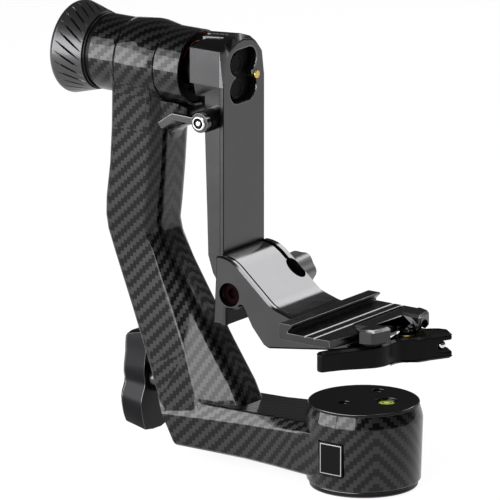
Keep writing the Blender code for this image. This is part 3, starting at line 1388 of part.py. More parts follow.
def make_foot():
    """Foot bracket that slides on the swing arm, its clamp bolt and the two base screws."""
    foot = prism("foot_bracket", foot_outline(), "Y", -FOOT_HALF_WIDTH, FOOT_HALF_WIDTH, FOOT_EDGE)
    front = PLATE_FRONT + GAP
    half = PLATE_HALF_WIDTH + GAP
    bevel_front = PLATE_FRONT - PLATE_EDGE_DEPTH
    slope = (PLATE_HALF_WIDTH - RAIL_HALF_WIDTH) / (bevel_front - PLATE_BACK)
    back = FOOT_BACK - OVERRUN
    back_half = half + GAP - slope * (bevel_front - back)
    groove = prism(
        "plate_groove",
        (
            (front, -half),
            (bevel_front, -half),
            (back, -back_half),
            (back, back_half),
            (bevel_front, half),
            (front, half),
        ),
        "Z",
        LEG_BOTTOM - OVERRUN,
        FOOT_TOP + OVERRUN,
    )
    slit = box(
        "slit",
        (FOOT_BACK - OVERRUN, SLIT_INNER, LEG_BOTTOM - OVERRUN),
        (KEYHOLE_X, SLIT_INNER + SLIT_WIDTH, FOOT_TOP + OVERRUN),
    )
    keyhole = rod(
        "keyhole",
        KEYHOLE_RADIUS,
        LEG_BOTTOM - OVERRUN,
        FOOT_TOP + OVERRUN,
        "Z",
        (KEYHOLE_X, SLIT_INNER + SLIT_WIDTH / 2, 0),
    )
    seat = -FOOT_HALF_WIDTH + CLAMP_BORE_DEPTH
    bolt_bore = turned(
        "bolt_bore",
        (
            (0, -FOOT_HALF_WIDTH - OVERRUN),
            (CLAMP_BORE_RADIUS, -FOOT_HALF_WIDTH - OVERRUN),
            (CLAMP_BORE_RADIUS, seat),
            (CLAMP_BOLT_RADIUS + GAP, seat),
            (CLAMP_BOLT_RADIUS + GAP, FOOT_HALF_WIDTH + OVERRUN),
            (0, FOOT_HALF_WIDTH + OVERRUN),
        ),
        "Y",
        (CLAMP_BOLT_X, 0, CLAMP_BOLT_HEIGHT),
    )
    cut(foot, groove, slit, keyhole, bolt_bore)
    for side in (-1, 1):
        reach = FOOT_HALF_WIDTH + OVERRUN
        run = (FOOT_FRONT - FOOT_FRONT_CORNER[0]) / (FOOT_HALF_WIDTH - FOOT_FRONT_CORNER[1])
        corner = (
            (FOOT_FRONT + OVERRUN, side * (FOOT_FRONT_CORNER[1] - OVERRUN / run)),
            (FOOT_FRONT + OVERRUN, side * reach),
            (FOOT_FRONT_CORNER[0] - OVERRUN * run, side * reach),
        )
        cut(foot, prism("corner", corner, "Z", KEEL[1] - OVERRUN, SEAT_HEIGHT + OVERRUN))

    head_low = seat - GAP
    head_high = head_low - CLAMP_HEAD_HEIGHT
    knob_start = FOOT_HALF_WIDTH + GAP
    bolt_end = knob_start + HEIGHT_KNOB_BORE_DEPTH - GAP
    bolt = turned(
        "height_clamp_bolt",
        (
            (0, bolt_end),
            (CLAMP_BOLT_RADIUS, bolt_end),
            (CLAMP_BOLT_RADIUS, head_low),
            (CLAMP_HEAD_RADIUS, head_low),
            (CLAMP_HEAD_RADIUS, head_high),
            (CLAMP_SOCKET_RADIUS, head_high),
            (CLAMP_SOCKET_RADIUS, (head_low + head_high) / 2),
            (0, (head_low + head_high) / 2),
        ),
        "Y",
        (CLAMP_BOLT_X, 0, CLAMP_BOLT_HEIGHT),
        SMALL_STEPS,
    )
    finish(bolt, "foot", RED_ANODISED)

    head_depth = BASE_SCREW_HEAD_HEIGHT + GAP
    thread_top = clamp_low + BASE_SCREW_BITE
    for name, y in zip(("base_screw_rear", "base_screw_front"), BASE_SCREW_PLACES):
        place = (BASE_SCREW_X, y, 0)
        along = (BASE_SCREW_X - KEEL[0]) / (FOOT_FRONT - KEEL[0])
        under = KEEL[1] + (FOOT_FRONT_LOW - KEEL[1]) * along
        ledge = under + head_depth + BASE_SCREW_HEAD_HEIGHT / 2
        bore = turned(
            "screw_bore",
            (
                (0, KEEL[1] - OVERRUN),
                (BASE_SCREW_HEAD_RADIUS + GAP, KEEL[1] - OVERRUN),
                (BASE_SCREW_HEAD_RADIUS + GAP, ledge),
                (BASE_SCREW_RADIUS + GAP, ledge),
                (BASE_SCREW_RADIUS + GAP, SEAT_HEIGHT + OVERRUN),
                (0, SEAT_HEIGHT + OVERRUN),
            ),
            "Z",
            place,
            SMALL_STEPS,
        )
        cut(foot, bore)
        top = ledge - GAP
        low = top - BASE_SCREW_HEAD_HEIGHT
        screw = turned(
            name,
            (
                (0, low + BASE_SCREW_HEAD_HEIGHT / 2),
                (BASE_SCREW_RADIUS, low + BASE_SCREW_HEAD_HEIGHT / 2),
                (BASE_SCREW_RADIUS, low),
                (BASE_SCREW_HEAD_RADIUS, low),
                (BASE_SCREW_HEAD_RADIUS, top),
                (BASE_SCREW_RADIUS, top),
                (BASE_SCREW_RADIUS, thread_top),
                (0, thread_top),
            ),
            "Z",
            place,
            SMALL_STEPS,
        )
        finish(screw, "foot", BLACK_STEEL)
    finish(foot, "foot", SATIN_GREY)


def make_height_knob():
    """Lobed knob that closes the foot on the swing arm."""
    start = FOOT_HALF_WIDTH + GAP
    neck = start + HEIGHT_KNOB_NECK_LENGTH
    end = start + HEIGHT_KNOB_LENGTH
    points = HEIGHT_KNOB_LOBES * 6
    angles = [math.tau * i / points for i in range(points)]

    def row(y, radius, depth):
        radii = [radius - depth * (1 - math.cos(HEIGHT_KNOB_LOBES * a)) / 2 for a in angles]
        return [
            (CLAMP_BOLT_X + r * math.cos(a), y, CLAMP_BOLT_HEIGHT + r * math.sin(a))
            for r, a in zip(radii, angles)
        ]

    widest = HEIGHT_KNOB_RADIUS
    knob = loft(
        "height_clamp_knob",
        (
            row(start, HEIGHT_KNOB_NECK_RADIUS, 0),
            row(neck, HEIGHT_KNOB_NECK_RADIUS, 0),
            row(neck + HEIGHT_KNOB_TAPER, widest - HEIGHT_KNOB_TAPER / 2, HEIGHT_KNOB_LOBE_DEPTH),
            row(end - HEIGHT_KNOB_TAPER, widest, HEIGHT_KNOB_LOBE_DEPTH),
            row(end, widest - HEIGHT_KNOB_TAPER, HEIGHT_KNOB_LOBE_DEPTH),
        ),
    )
    bore = rod(
        "knob_bore",
        CLAMP_BOLT_RADIUS + GAP,
        start - OVERRUN,
        start + HEIGHT_KNOB_BORE_DEPTH,
        "Y",
        (CLAMP_BOLT_X, 0, CLAMP_BOLT_HEIGHT),
        SMALL_STEPS,
    )
    cut(knob, bore)
    finish(knob, "height_knob", SATIN_GREY)


def jaw_profile(back, lip, front_low):
    """Corners (X, Z) of a jaw from its outer foot over its lip to the undercut wall."""
    way = 1 if lip > back else -1
    wall = lip - way * JAW_UNDERCUT
    under = clamp_top - LIP_THICKNESS - JAW_UNDERCUT
    return [
        (back, front_low),
        (back, clamp_top - JAW_CHAMFER),
        (back + way * JAW_CHAMFER, clamp_top),
        (lip, clamp_top),
        (lip, clamp_top - LIP_THICKNESS),
        (wall, under),
    ], wall


def make_clamp_base():
    """Clamp base with the fixed jaw and the grooved channel floor."""
    corners, wall = jaw_profile(FIXED_JAW_BACK, FIXED_LIP, clamp_low)
    floor = [(wall, clamp_floor)]
    half = FLOOR_GROOVE_WIDTH / 2
    for place in FLOOR_GROOVE_PLACES:
        floor += [
            (place - half, clamp_floor),
            (place, clamp_floor - FLOOR_GROOVE_DEPTH),
            (place + half, clamp_floor),
        ]
    front = CLAMP_FRONT + OVERRUN
    ends = CLAMP_HALF_LENGTH + OVERRUN
    base = prism("clamp_base", corners + floor + [(front, clamp_floor), (front, clamp_low)], "Y", -ends, ends)
    plan = mirrored(
        (
            (CLAMP_HALF_LENGTH, FIXED_JAW_BACK - OVERRUN),
            (CLAMP_HALF_LENGTH, CLAMP_END_X),
            (CLAMP_NARROW_HALF_LENGTH, CLAMP_FRONT),
        )
    )
    outline = [(x, y) for y, x in plan]
    combine(base, prism("plan", outline, "Z", clamp_low - OVERRUN, clamp_top + OVERRUN), "INTERSECT")
    for y in GUIDE_PIN_PLACES:
        pin_way = rod(
            "pin_way",
            GUIDE_PIN_RADIUS + GAP,
            CLAMP_FRONT - GUIDE_PIN_BITE - GAP,
            CLAMP_FRONT + OVERRUN,
            "X",
            (0, y, guide_pin_height),
            SMALL_STEPS,
        )
        cut(base, pin_way)
    for y in BASE_SCREW_PLACES:
        hole_top = clamp_low + GAP + BASE_SCREW_BITE
        place = (BASE_SCREW_X, y, 0)
        wall = BASE_SCREW_RADIUS + GAP
        hole = rod("tapped_hole", wall, clamp_low - OVERRUN, hole_top, "Z", place, SMALL_STEPS)
        cut(base, hole)
    finish(base, "foot", BLACK)


def make_moving_jaw():
    """Moving jaw with its wings, the sloped shelf, the pivot column and two guide pins."""
    front = JAW_EAR[0] + OVERRUN
    ends = JAW_WING[1] + OVERRUN
    corners, wall = jaw_profile(front, MOVING_LIP, clamp_low)
    profile = [(wall, clamp_low), (front, clamp_low), (front, clamp_top), *corners[3:]]
    jaw = prism("moving_jaw", profile, "Y", JAW_MIDDLE - ends, JAW_MIDDLE + ends)
    lip_end = (MOVING_LIP - OVERRUN, JAW_LIP_HALF_LENGTH)
    half = [lip_end, JAW_NECK, JAW_WING_START, JAW_WING, JAW_CORNER, JAW_EAR]
    outline = [(x, JAW_MIDDLE + y) for x, y in half] + [(x, JAW_MIDDLE - y) for x, y in reversed(half)]
    combine(jaw, prism("plan", outline, "Z", clamp_low - OVERRUN, clamp_top + OVERRUN), "INTERSECT")

    slope = (clamp_top - shelf_height) / (JAW_SHELF_X - JAW_SLOPE_X)
    scoop = prism(
        "scoop",
        (
            (JAW_SHELF_X, clamp_low - OVERRUN),
            (front + OVERRUN, clamp_low - OVERRUN),
            (front + OVERRUN, clamp_top + OVERRUN * slope),
            (JAW_SLOPE_X - OVERRUN, clamp_top + OVERRUN * slope),
            (JAW_SHELF_X, shelf_height),
        ),
        "Y",
        JAW_MIDDLE - JAW_EAR[1],
        JAW_MIDDLE + JAW_EAR[1],
    )
    pocket = box(
        "pocket",
        (JAW_POCKET_X, JAW_MIDDLE - JAW_EAR[1] + GAP, clamp_low - OVERRUN),
        (front + OVERRUN, PIVOT[1], clamp_top + OVERRUN),
    )
    arch_y = (BRASS_PAD_LOW[1] + BRASS_PAD_HIGH[1]) / 2
    arch = rod(
        "arch", PAD_ARCH_RADIUS, JAW_SHELF_X - OVERRUN / 2, front, "X", (0, arch_y, clamp_low), SMALL_STEPS
    )
    cut(jaw, scoop, pocket, arch)
    pivot = (*PIVOT, 0)
    column_top = clamp_low + PIVOT_COLUMN_RISE
    unite(jaw, rod("column", PIVOT_COLUMN_RADIUS, clamp_low, column_top, "Z", pivot))
    screw_top = column_top - LIP_THICKNESS
    tools = [
        rod("pivot_way", PIVOT_RADIUS + GAP, clamp_low - OVERRUN, screw_top + GAP, "Z", pivot, SMALL_STEPS)
    ]
    for y in GUIDE_PIN_PLACES:
        place = (0, y, guide_pin_height)
        bore = GUIDE_PIN_RADIUS + GAP
        tools.append(rod("pin_way", bore, wall - OVERRUN, GUIDE_PIN_END + GAP, "X", place, SMALL_STEPS))
        name = "guide_pin_near" if y < 0 else "guide_pin_far"
        pin_low = CLAMP_FRONT - GUIDE_PIN_BITE
        pin = rod(name, GUIDE_PIN_RADIUS, pin_low, GUIDE_PIN_END, "X", place, SMALL_STEPS)
        finish(pin, "foot", STEEL)
    cut(jaw, *tools)
    finish(jaw, "jaw", BLACK)

    head_high = lever_low - GAP
    head_low = head_high - PIVOT_HEAD_HEIGHT
    screw = turned(
        "lever_pivot_screw",
        (
            (0, head_low),
            (PIVOT_HEAD_RADIUS, head_low),
            (PIVOT_HEAD_RADIUS, head_high),
            (PIVOT_RADIUS, head_high),
            (PIVOT_RADIUS, screw_top),
            (0, screw_top),
        ),
        "Z",
        pivot,
    )
    finish(screw, "jaw", BLACK_STEEL)
    washer_low = lever_high + GAP
    washer_high = clamp_low - GAP
    bore = PIVOT_RADIUS + GAP
    washer = ring("pivot_washer", bore, PIVOT_WASHER_RADIUS, washer_low, washer_high, "Z", pivot)
    finish(washer, "jaw", BRASS)
    pad_middle = (lever_high + clamp_low) / 2
    pad = box(
        "brass_pad",
        (*BRASS_PAD_LOW, pad_middle - BRASS_PAD_HALF_THICKNESS),
        (*BRASS_PAD_HIGH, pad_middle + BRASS_PAD_HALF_THICKNESS),
    )
    finish(pad, "jaw", BRASS)


def make_lever():
    """Clamp lever with its curved arm, forked paddle and the steel ball held in the fork."""
    near = smooth_through((LEVER_TIP[-1], *LEVER_NEAR), LEVER_CURVE_STEPS)
    far = smooth_through((LEVER_PADDLE[-1], *LEVER_FAR, LEVER_TIP[0]), LEVER_CURVE_STEPS)
    outline = [LEVER_TIP[1], *near, *LEVER_PADDLE[:-1], *far]
    lever = prism("jaw_lever", outline, "Z", lever_low, lever_high, LEVER_EDGE)
    pivot = (*PIVOT, 0)
    way = rod(
        "pivot_way", PIVOT_RADIUS + GAP, lever_low - OVERRUN, lever_high + OVERRUN, "Z", pivot, SMALL_STEPS
    )
    middle = (fork_slot_low + fork_slot_high) / 2
    end = LEVER_PADDLE[1][1] + OVERRUN
    slot_outline = rounded(
        (
            (FORK_SLOT_START, fork_slot_low, FORK_SLOT_RADIUS),
            (end, fork_slot_low, 0),
            (end, fork_slot_high, 0),
            (FORK_SLOT_START, fork_slot_high, FORK_SLOT_RADIUS),
        )
    )
    slot = prism("fork_slot", slot_outline, "X", PIVOT[0] - OVERRUN, LEVER_PADDLE[0][0] + OVERRUN)
    wedge = prism(
        "wedge",
        (
            (0, lever_low - OVERRUN),
            (0, lever_low),
            (LEVER_TIP[-1][1] - OVERRUN, lever_low + LEVER_TIP_RISE),
            (LEVER_TIP[-1][1] - OVERRUN, lever_low - OVERRUN),
        ),
        "X",
        -OVERRUN,
        LEVER_PADDLE[0][0],
    )
    cut(lever, way, slot, wedge)
    finish(lever, "lever", BLACK)

    radius = (fork_slot_high - fork_slot_low) / 2 - GAP
    profile = [
        (radius * math.sin(turn), -radius * math.cos(turn)) for turn in (math.pi * k / 10 for k in range(11))
    ]
    ball = turned("fork_ball", profile, "Z", (*BALL_PLACE, middle), SMALL_STEPS)
    finish(ball, "lever", POLISHED_STEEL)


def main():
    clear_scene()
    add_body("tripod_base", (0, 0, 0))
    add_body("arm", (0, 0, 0))
    add_body("pan_knob", (PAN_KNOB_INNER_X, 0, PAN_KNOB_HEIGHT))
    add_body("tilt_knob", (TUBE_LEFT, 0, TILT_HEIGHT))
    add_body("swing", (HUB_LEFT, 0, TILT_HEIGHT))
    add_body("crank", (BOSS_X, -BOSS_FACE, BOSS_HEIGHT))
    add_body("foot", (PLATE_FRONT, 0, FOOT_TOP))
    add_body("height_knob", (CLAMP_BOLT_X, FOOT_HALF_WIDTH, CLAMP_BOLT_HEIGHT))
    add_body("jaw", (CLAMP_FRONT, 0, clamp_floor))
    add_body("lever", (*PIVOT, lever_high))
    make_base()
    make_arm()
    make_cap()
    make_pan_lock()
    make_tilt_axis()
    make_tilt_knob()
    make_swing_arm()
    make_crank()
    make_foot()
    make_height_knob()
    make_clamp_base()
    make_moving_jaw()
    make_lever()


main()
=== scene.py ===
# %% [markdown]
# # A gimbal tripod head in carbon and anodised aluminium
# The frame is the packed CAD model of the head: its bodies, its joints and its plain solids.
# This lesson dresses that frame. A solid that shows is copied, its corners are broken and it gets a
# finish with real grain or weave. The pieces whose small forms catch the light are modelled afresh.

# %% Load the frame
import json
import math

import bpy
from mathutils import Matrix, Vector

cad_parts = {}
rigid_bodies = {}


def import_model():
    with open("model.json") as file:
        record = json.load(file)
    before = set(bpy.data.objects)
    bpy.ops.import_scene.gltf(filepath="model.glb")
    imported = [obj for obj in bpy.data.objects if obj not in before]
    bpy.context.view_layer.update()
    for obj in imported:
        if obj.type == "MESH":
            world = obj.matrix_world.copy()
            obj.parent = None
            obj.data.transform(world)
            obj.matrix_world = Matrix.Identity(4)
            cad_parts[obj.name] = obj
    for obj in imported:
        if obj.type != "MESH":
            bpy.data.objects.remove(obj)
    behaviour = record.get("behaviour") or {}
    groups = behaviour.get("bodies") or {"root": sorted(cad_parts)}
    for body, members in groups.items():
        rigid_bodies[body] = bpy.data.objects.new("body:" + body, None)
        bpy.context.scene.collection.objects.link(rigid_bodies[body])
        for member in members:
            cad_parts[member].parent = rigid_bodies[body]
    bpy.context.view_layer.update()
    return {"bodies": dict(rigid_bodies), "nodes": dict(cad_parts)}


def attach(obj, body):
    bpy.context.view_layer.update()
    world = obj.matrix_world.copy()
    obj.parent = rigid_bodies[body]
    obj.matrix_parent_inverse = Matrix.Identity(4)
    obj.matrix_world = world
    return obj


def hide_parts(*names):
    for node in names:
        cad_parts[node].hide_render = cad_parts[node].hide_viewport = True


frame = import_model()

nodes = frame["nodes"]

# %% [markdown]
# ## The camera
# A product photographer stands well back with a long lens, so that near and far sides keep nearly
# the same scale. The camera here does the same: it stands about eight metres away, and its lens
# length brings the head up to the size that it has in the picture.

# %% Camera
TOWARDS_CAMERA = Vector((0.56315, -0.78371, 0.26202)).normalized()
PICTURE_MIDDLE = Vector((-0.0783, 0, 0.1228))
CAMERA_DISTANCE = 7.839
LENS_LENGTH = 1008
camera_data = bpy.data.cameras.new("camera")
camera_data.lens = LENS_LENGTH
camera_data.sensor_width = 36
camera_data.clip_end = 40
camera = bpy.data.objects.new("camera", camera_data)
camera.location = PICTURE_MIDDLE + TOWARDS_CAMERA * CAMERA_DISTANCE
camera.rotation_mode = "QUATERNION"
camera.rotation_quaternion = TOWARDS_CAMERA.to_track_quat("Z", "Y")
bpy.context.collection.objects.link(camera)
bpy.context.scene.camera = camera
print("camera at", [round(v, 3) for v in camera.location])

# %% [markdown]
# ## Shader maths
# A material is a small sum, and it reads best when it is written as one. The class below wraps a
# socket, so that adding or multiplying two of them adds the Math node that does it. Every other
# node comes from one function, which takes its type, its settings and its values or links.


# %% Shader maths as expressions
class Wire:
    """A socket of a node tree, with sums written as Python expressions."""

    def __init__(self, tree, socket):
        self.tree = tree
        self.socket = socket

    def math(self, operation, *others):
        return self.node("ShaderNodeMath", {"operation": operation}, (self, *others))

    def node(self, kind, settings=None, values=()):
        return add_node(self.tree, kind, settings, values)

    def __add__(self, other):
        return self.math("ADD", other)

    def __radd__(self, other):
        return self.math("ADD", other)

    def __sub__(self, other):
        return self.math("SUBTRACT", other)

    def __rsub__(self, other):
        return self.node("ShaderNodeMath", {"operation": "SUBTRACT"}, (other, self))

    def __mul__(self, other):
        return self.math("MULTIPLY", other)

    def __rmul__(self, other):
        return self.math("MULTIPLY", other)

    def above(self, other):
        return self.math("GREATER_THAN", other)

    def below(self, other):
        return self.math("LESS_THAN", other)

    def abs(self):
        return self.math("ABSOLUTE")

    def floor(self):
        return self.math("FLOOR")

    def fraction(self):
        return self.math("FRACT")


print("operations:", ", ".join(name for name in vars(Wire) if not name.startswith("_")))


# %% Nodes from one function
def add_node(tree, kind, settings=None, values=(), output=0):
    """Adds a node, sets it up, feeds its sockets and gives back one of its outputs."""
    node = tree.nodes.new(kind)
    for key, value in (settings or {}).items():
        setattr(node, key, value)
    pairs = values.items() if isinstance(values, dict) else enumerate(values)
    for key, value in pairs:
        if isinstance(value, Wire):
            tree.links.new(value.socket, node.inputs[key])
        elif value is not None:
            node.inputs[key].default_value = value
    return Wire(tree, node.outputs[output]) if output is not None else node


def new_surface(name):
    """A new material, with its node tree and its shader."""
    made = bpy.data.materials.new(name)
    made.use_nodes = True
    return made, made.node_tree, made.node_tree.nodes["Principled BSDF"]


def mixed_colour(tree, factor, first, second):
    """Runs from the first colour to the second as the factor goes from 0 to 1."""
    values = {"Factor": factor, "A": first, "B": second}
    return add_node(tree, "ShaderNodeMix", {"data_type": "RGBA"}, values, output=2)


print("node helpers ready")

# %% [markdown]
# ## Anodised and blackened metal
# Bead-blasted aluminium has a very fine, even grain. Each blast mark tilts the surface a little,
# so the metal looks soft and its highlights spread. The corners get a paler copy of the finish,
# which is a painted highlight along the edges. A noise of a quarter of a millimetre gives the
# grain, and a slow one gives the faint cloudiness of the dye.

# %% Metal surfaces
GRAIN = 0.00025
CLOUDS_PER_METRE = 55.0


def metal(name, colour, roughness, depth=0.00001, cloud=0.12, metallic=1.0, gloss=0.5):
    """A dyed or bare metal with fine blast grain and slow cloudiness."""
    made, tree, shader = new_surface(name)
    place = add_node(tree, "ShaderNodeTexCoord", output=3)
    fine_noise = {"Vector": place, "Scale": 1 / GRAIN, "Detail": 2.0, "Roughness": 0.6}
    slow_noise = {"Vector": place, "Scale": CLOUDS_PER_METRE, "Detail": 3.0}
    fine = add_node(tree, "ShaderNodeTexNoise", None, fine_noise)
    slow = add_node(tree, "ShaderNodeTexNoise", None, slow_noise)
    light = tuple(c * (1 + cloud) for c in colour)
    dark = tuple(c * (1 - cloud) for c in colour)
    mixed = mixed_colour(tree, slow * 0.7 + fine * 0.3, (*dark, 1), (*light, 1))
    tree.links.new(mixed.socket, shader.inputs["Base Color"])
    rough = (slow - 0.5) * 0.06 + (fine - 0.5) * 0.08 + roughness
    tree.links.new(rough.socket, shader.inputs["Roughness"])
    blast_marks = {"Strength": 0.35, "Distance": depth, "Height": fine}
    bump = add_node(tree, "ShaderNodeBump", None, blast_marks)
    tree.links.new(bump.socket, shader.inputs["Normal"])
    shader.inputs["Metallic"].default_value = metallic
    shader.inputs["Specular IOR Level"].default_value = gloss
    made.diffuse_color = (*colour, 1)
    return made


print("metal has blast grain of", GRAIN)

# %% Finishes of the pieces
SLOTS = {}


def finish(name, slot, *look, **options):
    """A metal surface, remembered with the record's slot that it belongs to."""
    made = metal(name, *look, **options)
    SLOTS[made] = slot
    return made


satin_grey = finish("satin_grey_aluminium", "satin_grey", (0.075, 0.075, 0.077), 0.205)
black = finish(
    "black_anodised_aluminium", "black", (0.003, 0.003, 0.0033), 0.25, metallic=0.0, gloss=0.08
)
black_steel = finish(
    "blackened_steel", "black_steel", (0.004, 0.004, 0.0044), 0.30, metallic=0.0, gloss=0.2
)
steel = finish("bare_steel", "steel", (0.45, 0.45, 0.46), 0.30)
shaft_steel = finish("dark_shaft_steel", "steel", (0.05, 0.05, 0.052), 0.30)
polished = finish("polished_steel", "polished_steel", (0.75, 0.75, 0.77), 0.14, 0.000002)
button_steel = finish("bright_button_steel", "polished_steel", (0.72, 0.72, 0.73), 0.34, 0.000001)
brass = finish("brass", "brass", (0.62, 0.45, 0.14), 0.24)
# A red so dark that it is near black: painted shade, on the collar in the recess behind the tube
# and on the bolt in the foot's bore.
red = finish(
    "red_anodised_in_painted_shade",
    "red_anodised",
    (0.0035, 0.0004, 0.0004),
    0.36,
    metallic=0.0,
    gloss=0.02,
)
knob_grey = finish("dark_grey_aluminium", "satin_grey", (0.015, 0.015, 0.016), 0.40)
silver_grey = finish("pale_grey_aluminium", "satin_grey", (0.21, 0.21, 0.213), 0.50)
# Matt black: the black of the pocket's screws, and painted shade in the pocket, round the boss,
# along the plate's edge and inside the foot.
black_and_painted_shade = finish(
    "matt_black_and_painted_shade", "satin_grey", (0.002, 0.002, 0.002), 0.45, metallic=0.0, gloss=0.05
)
clamp_grey = finish("dark_clamp_aluminium", "black", (0.050, 0.050, 0.052), 0.27)
knob_satin = finish(
    "grooved_knob_aluminium", "black_satin", (0.075, 0.075, 0.077), 0.30, metallic=0.9
)
print("finishes:", len(SLOTS))

# %% [markdown]
# ## Corners, facets and their painted highlights
# The broken corners, and a few sloping facets, get a paler copy of the same metal: a painted
# highlight, standing for the light that a lamp draws along them. Each finish is paired here with
# the one that its corners get.

# %% Finishes of the painted highlights on broken corners and facets
facet_highlight = finish("painted_facet_highlight", "black", (0.20, 0.20, 0.205), 0.28, cloud=0.05)
knob_corner_highlight = finish("grooved_knob_painted_highlight", "black_satin", (0.22, 0.22, 0.225), 0.26, cloud=0.05)
black_corner_highlight = finish("black_corner_painted_highlight", "black", (0.09, 0.09, 0.092), 0.24, cloud=0.05)
grey_corner_highlight = finish("grey_corner_painted_highlight", "satin_grey", (0.15, 0.15, 0.153), 0.26, cloud=0.05)
red_corner_highlight = finish(
    "red_corner_painted_highlight", "red_anodised", (0.60, 0.09, 0.03), 0.30, cloud=0.05, metallic=0.4
)
# Each finish with the paler copy that paints the highlight on its broken corners.
CORNER_HIGHLIGHTS = {
    satin_grey: grey_corner_highlight,
    clamp_grey: grey_corner_highlight,
    silver_grey: silver_grey,
    black: black_corner_highlight,
    black_steel: black_corner_highlight,
    knob_grey: black_corner_highlight,
    knob_satin: knob_corner_highlight,
    red: red_corner_highlight,
}
print("finishes with a corner of their own:", len(CORNER_HIGHLIGHTS))

# %% [markdown]
# ## Solids that stay as they are
# The bearings, pins and shaft lie inside the head or show only in a gap, so the frame's own meshes
# do for them, and they only get their finish.


# %% Paint the hidden solids
def paint(surface, *names):
    """Gives a material to the frame's own solids."""
    for name in names:
        piece = nodes[name]
        piece.data.materials.clear()
        piece.data.materials.append(surface)


paint(steel, "thread_insert", "pan_spindle", "pan_bearing_lower", "pan_bearing_upper")
paint(steel, "brake_rocker", "rocker_pin", "brake_push_rod", "guide_pin_near")
paint(steel, "guide_pin_far", "tilt_bearing_left", "tilt_bearing_right")
paint(shaft_steel, "tilt_shaft")
paint(satin_grey, "spindle_nut", "retaining_ring")
paint(brass, "tilt_knob_insert", "brass_pad", "pivot_washer", "brake_shoe")
print("hidden solids painted")

# %% [markdown]
# ## The round level
# The fluid is a clear yellow-green. A black ring is printed under it, and the bubble shows as a
# paler disc with a dark outline. Beyond a radius from the middle the fluid is painted darker, which
# is painted shade of the housing's rim. The ring is measured from the middle of the vial, and the
# bubble from its own middle, since the head isn't quite level.

# %% Level fluid, ring and bubble
LEVEL_MIDDLE = (0.0119, 0.0051, 0.0)
BUBBLE_MIDDLE = (0.0126, 0.0042, 0.0)
SHADE_BEYOND_RADIUS = 0.0042
RING_RADIUS = 0.0026
RING_HALF = 0.00022
BUBBLE_RADIUS = 0.0017
OUTLINE_HALF = 0.00014


def level_fluid():
    """Yellow-green fluid with a printed ring and a bubble."""
    made, tree, shader = new_surface("level_fluid")
    place = add_node(tree, "ShaderNodeTexCoord", output=3)
    flat = add_node(tree, "ShaderNodeVectorMath", {"operation": "MULTIPLY"}, (place, (1, 1, 0)))

    def distance(middle):
        settings = {"operation": "DISTANCE"}
        return add_node(tree, "ShaderNodeVectorMath", settings, (flat, middle), output=1)

    def within(wire, radius, half):
        return (wire - radius).abs().below(half)

    from_middle = distance(LEVEL_MIDDLE)
    from_bubble = distance(BUBBLE_MIDDLE)
    fluid, shaded = (0.50, 0.62, 0.02, 1), (0.09, 0.11, 0.01, 1)
    printed, pale, edge = (0.01, 0.01, 0.005, 1), (0.80, 0.88, 0.30, 1), (0.03, 0.04, 0.005, 1)
    # Outside that radius the fluid takes the shaded colour: painted shade of the housing's rim.
    colour = mixed_colour(tree, from_middle.above(SHADE_BEYOND_RADIUS), fluid, shaded)
    colour = mixed_colour(tree, within(from_middle, RING_RADIUS, RING_HALF), colour, printed)
    colour = mixed_colour(tree, from_bubble.below(BUBBLE_RADIUS), colour, pale)
    colour = mixed_colour(tree, within(from_bubble, BUBBLE_RADIUS, OUTLINE_HALF), colour, edge)
    tree.links.new(colour.socket, shader.inputs["Base Color"])
    shader.inputs["Roughness"].default_value = 0.12
    shader.inputs["Coat Weight"].default_value = 0.6
    SLOTS[made] = "level_yellow"
    return made


paint(level_fluid(), "level_vial")
print("level painted")

# %% [markdown]
# ## Corners that catch the light
# A machined corner is never sharp: the maker breaks it with a small chamfer or a tumbling bath, and
# that thin strip is what draws the bright line round a black part. Here the strip also takes a
# paler finish, which is a painted highlight. A solid of the frame is copied, its loose triangles
# are merged into real faces, and a fine bevel runs along every hard corner. Where bevels meet, some
# faces shrink to nothing, so points that fall together are merged again.


# %% Select, copy and cut
def select_kind(kind):
    """Chooses whether points, edges or faces are selected in edit mode."""
    bpy.context.tool_settings.mesh_select_mode = [kind == k for k in ("VERT", "EDGE", "FACE")]


def slice_piece(piece, normal, places, wanted=None):
    """Cuts the faces of a piece along planes, given by a direction and the distances along it."""
    for place in places:
        if wanted:
            select_kind("FACE")
            for face in piece.data.polygons:
                face.select = wanted(face)
        bpy.ops.object.mode_set(mode="EDIT")
        if not wanted:
            bpy.ops.mesh.select_all(action="SELECT")
        bpy.ops.mesh.bisect(plane_co=Vector(normal) * place, plane_no=normal)
        bpy.ops.object.mode_set(mode="OBJECT")
    select_kind("VERT")


def select_only(piece):
    """Selects one object alone and makes it the active one."""
    bpy.ops.object.select_all(action="DESELECT")
    piece.select_set(True)
    bpy.context.view_layer.objects.active = piece


def own_copy(piece, name):
    """A copy of an object, with its own mesh."""
    copy = bpy.data.objects.new(name, piece.data.copy())
    bpy.context.collection.objects.link(copy)
    return copy


def merged_copy(node):
    """A copy of a frame solid as one mesh of large faces, selected and active."""
    copy = own_copy(nodes[node], node + "_dressed")
    select_only(copy)
    bpy.ops.object.mode_set(mode="EDIT")
    bpy.ops.mesh.select_all(action="SELECT")
    bpy.ops.mesh.remove_doubles(threshold=0.000002)
    bpy.ops.mesh.dissolve_limited(angle_limit=math.radians(0.6))
    bpy.ops.object.mode_set(mode="OBJECT")
    return copy


print("edit helpers ready")


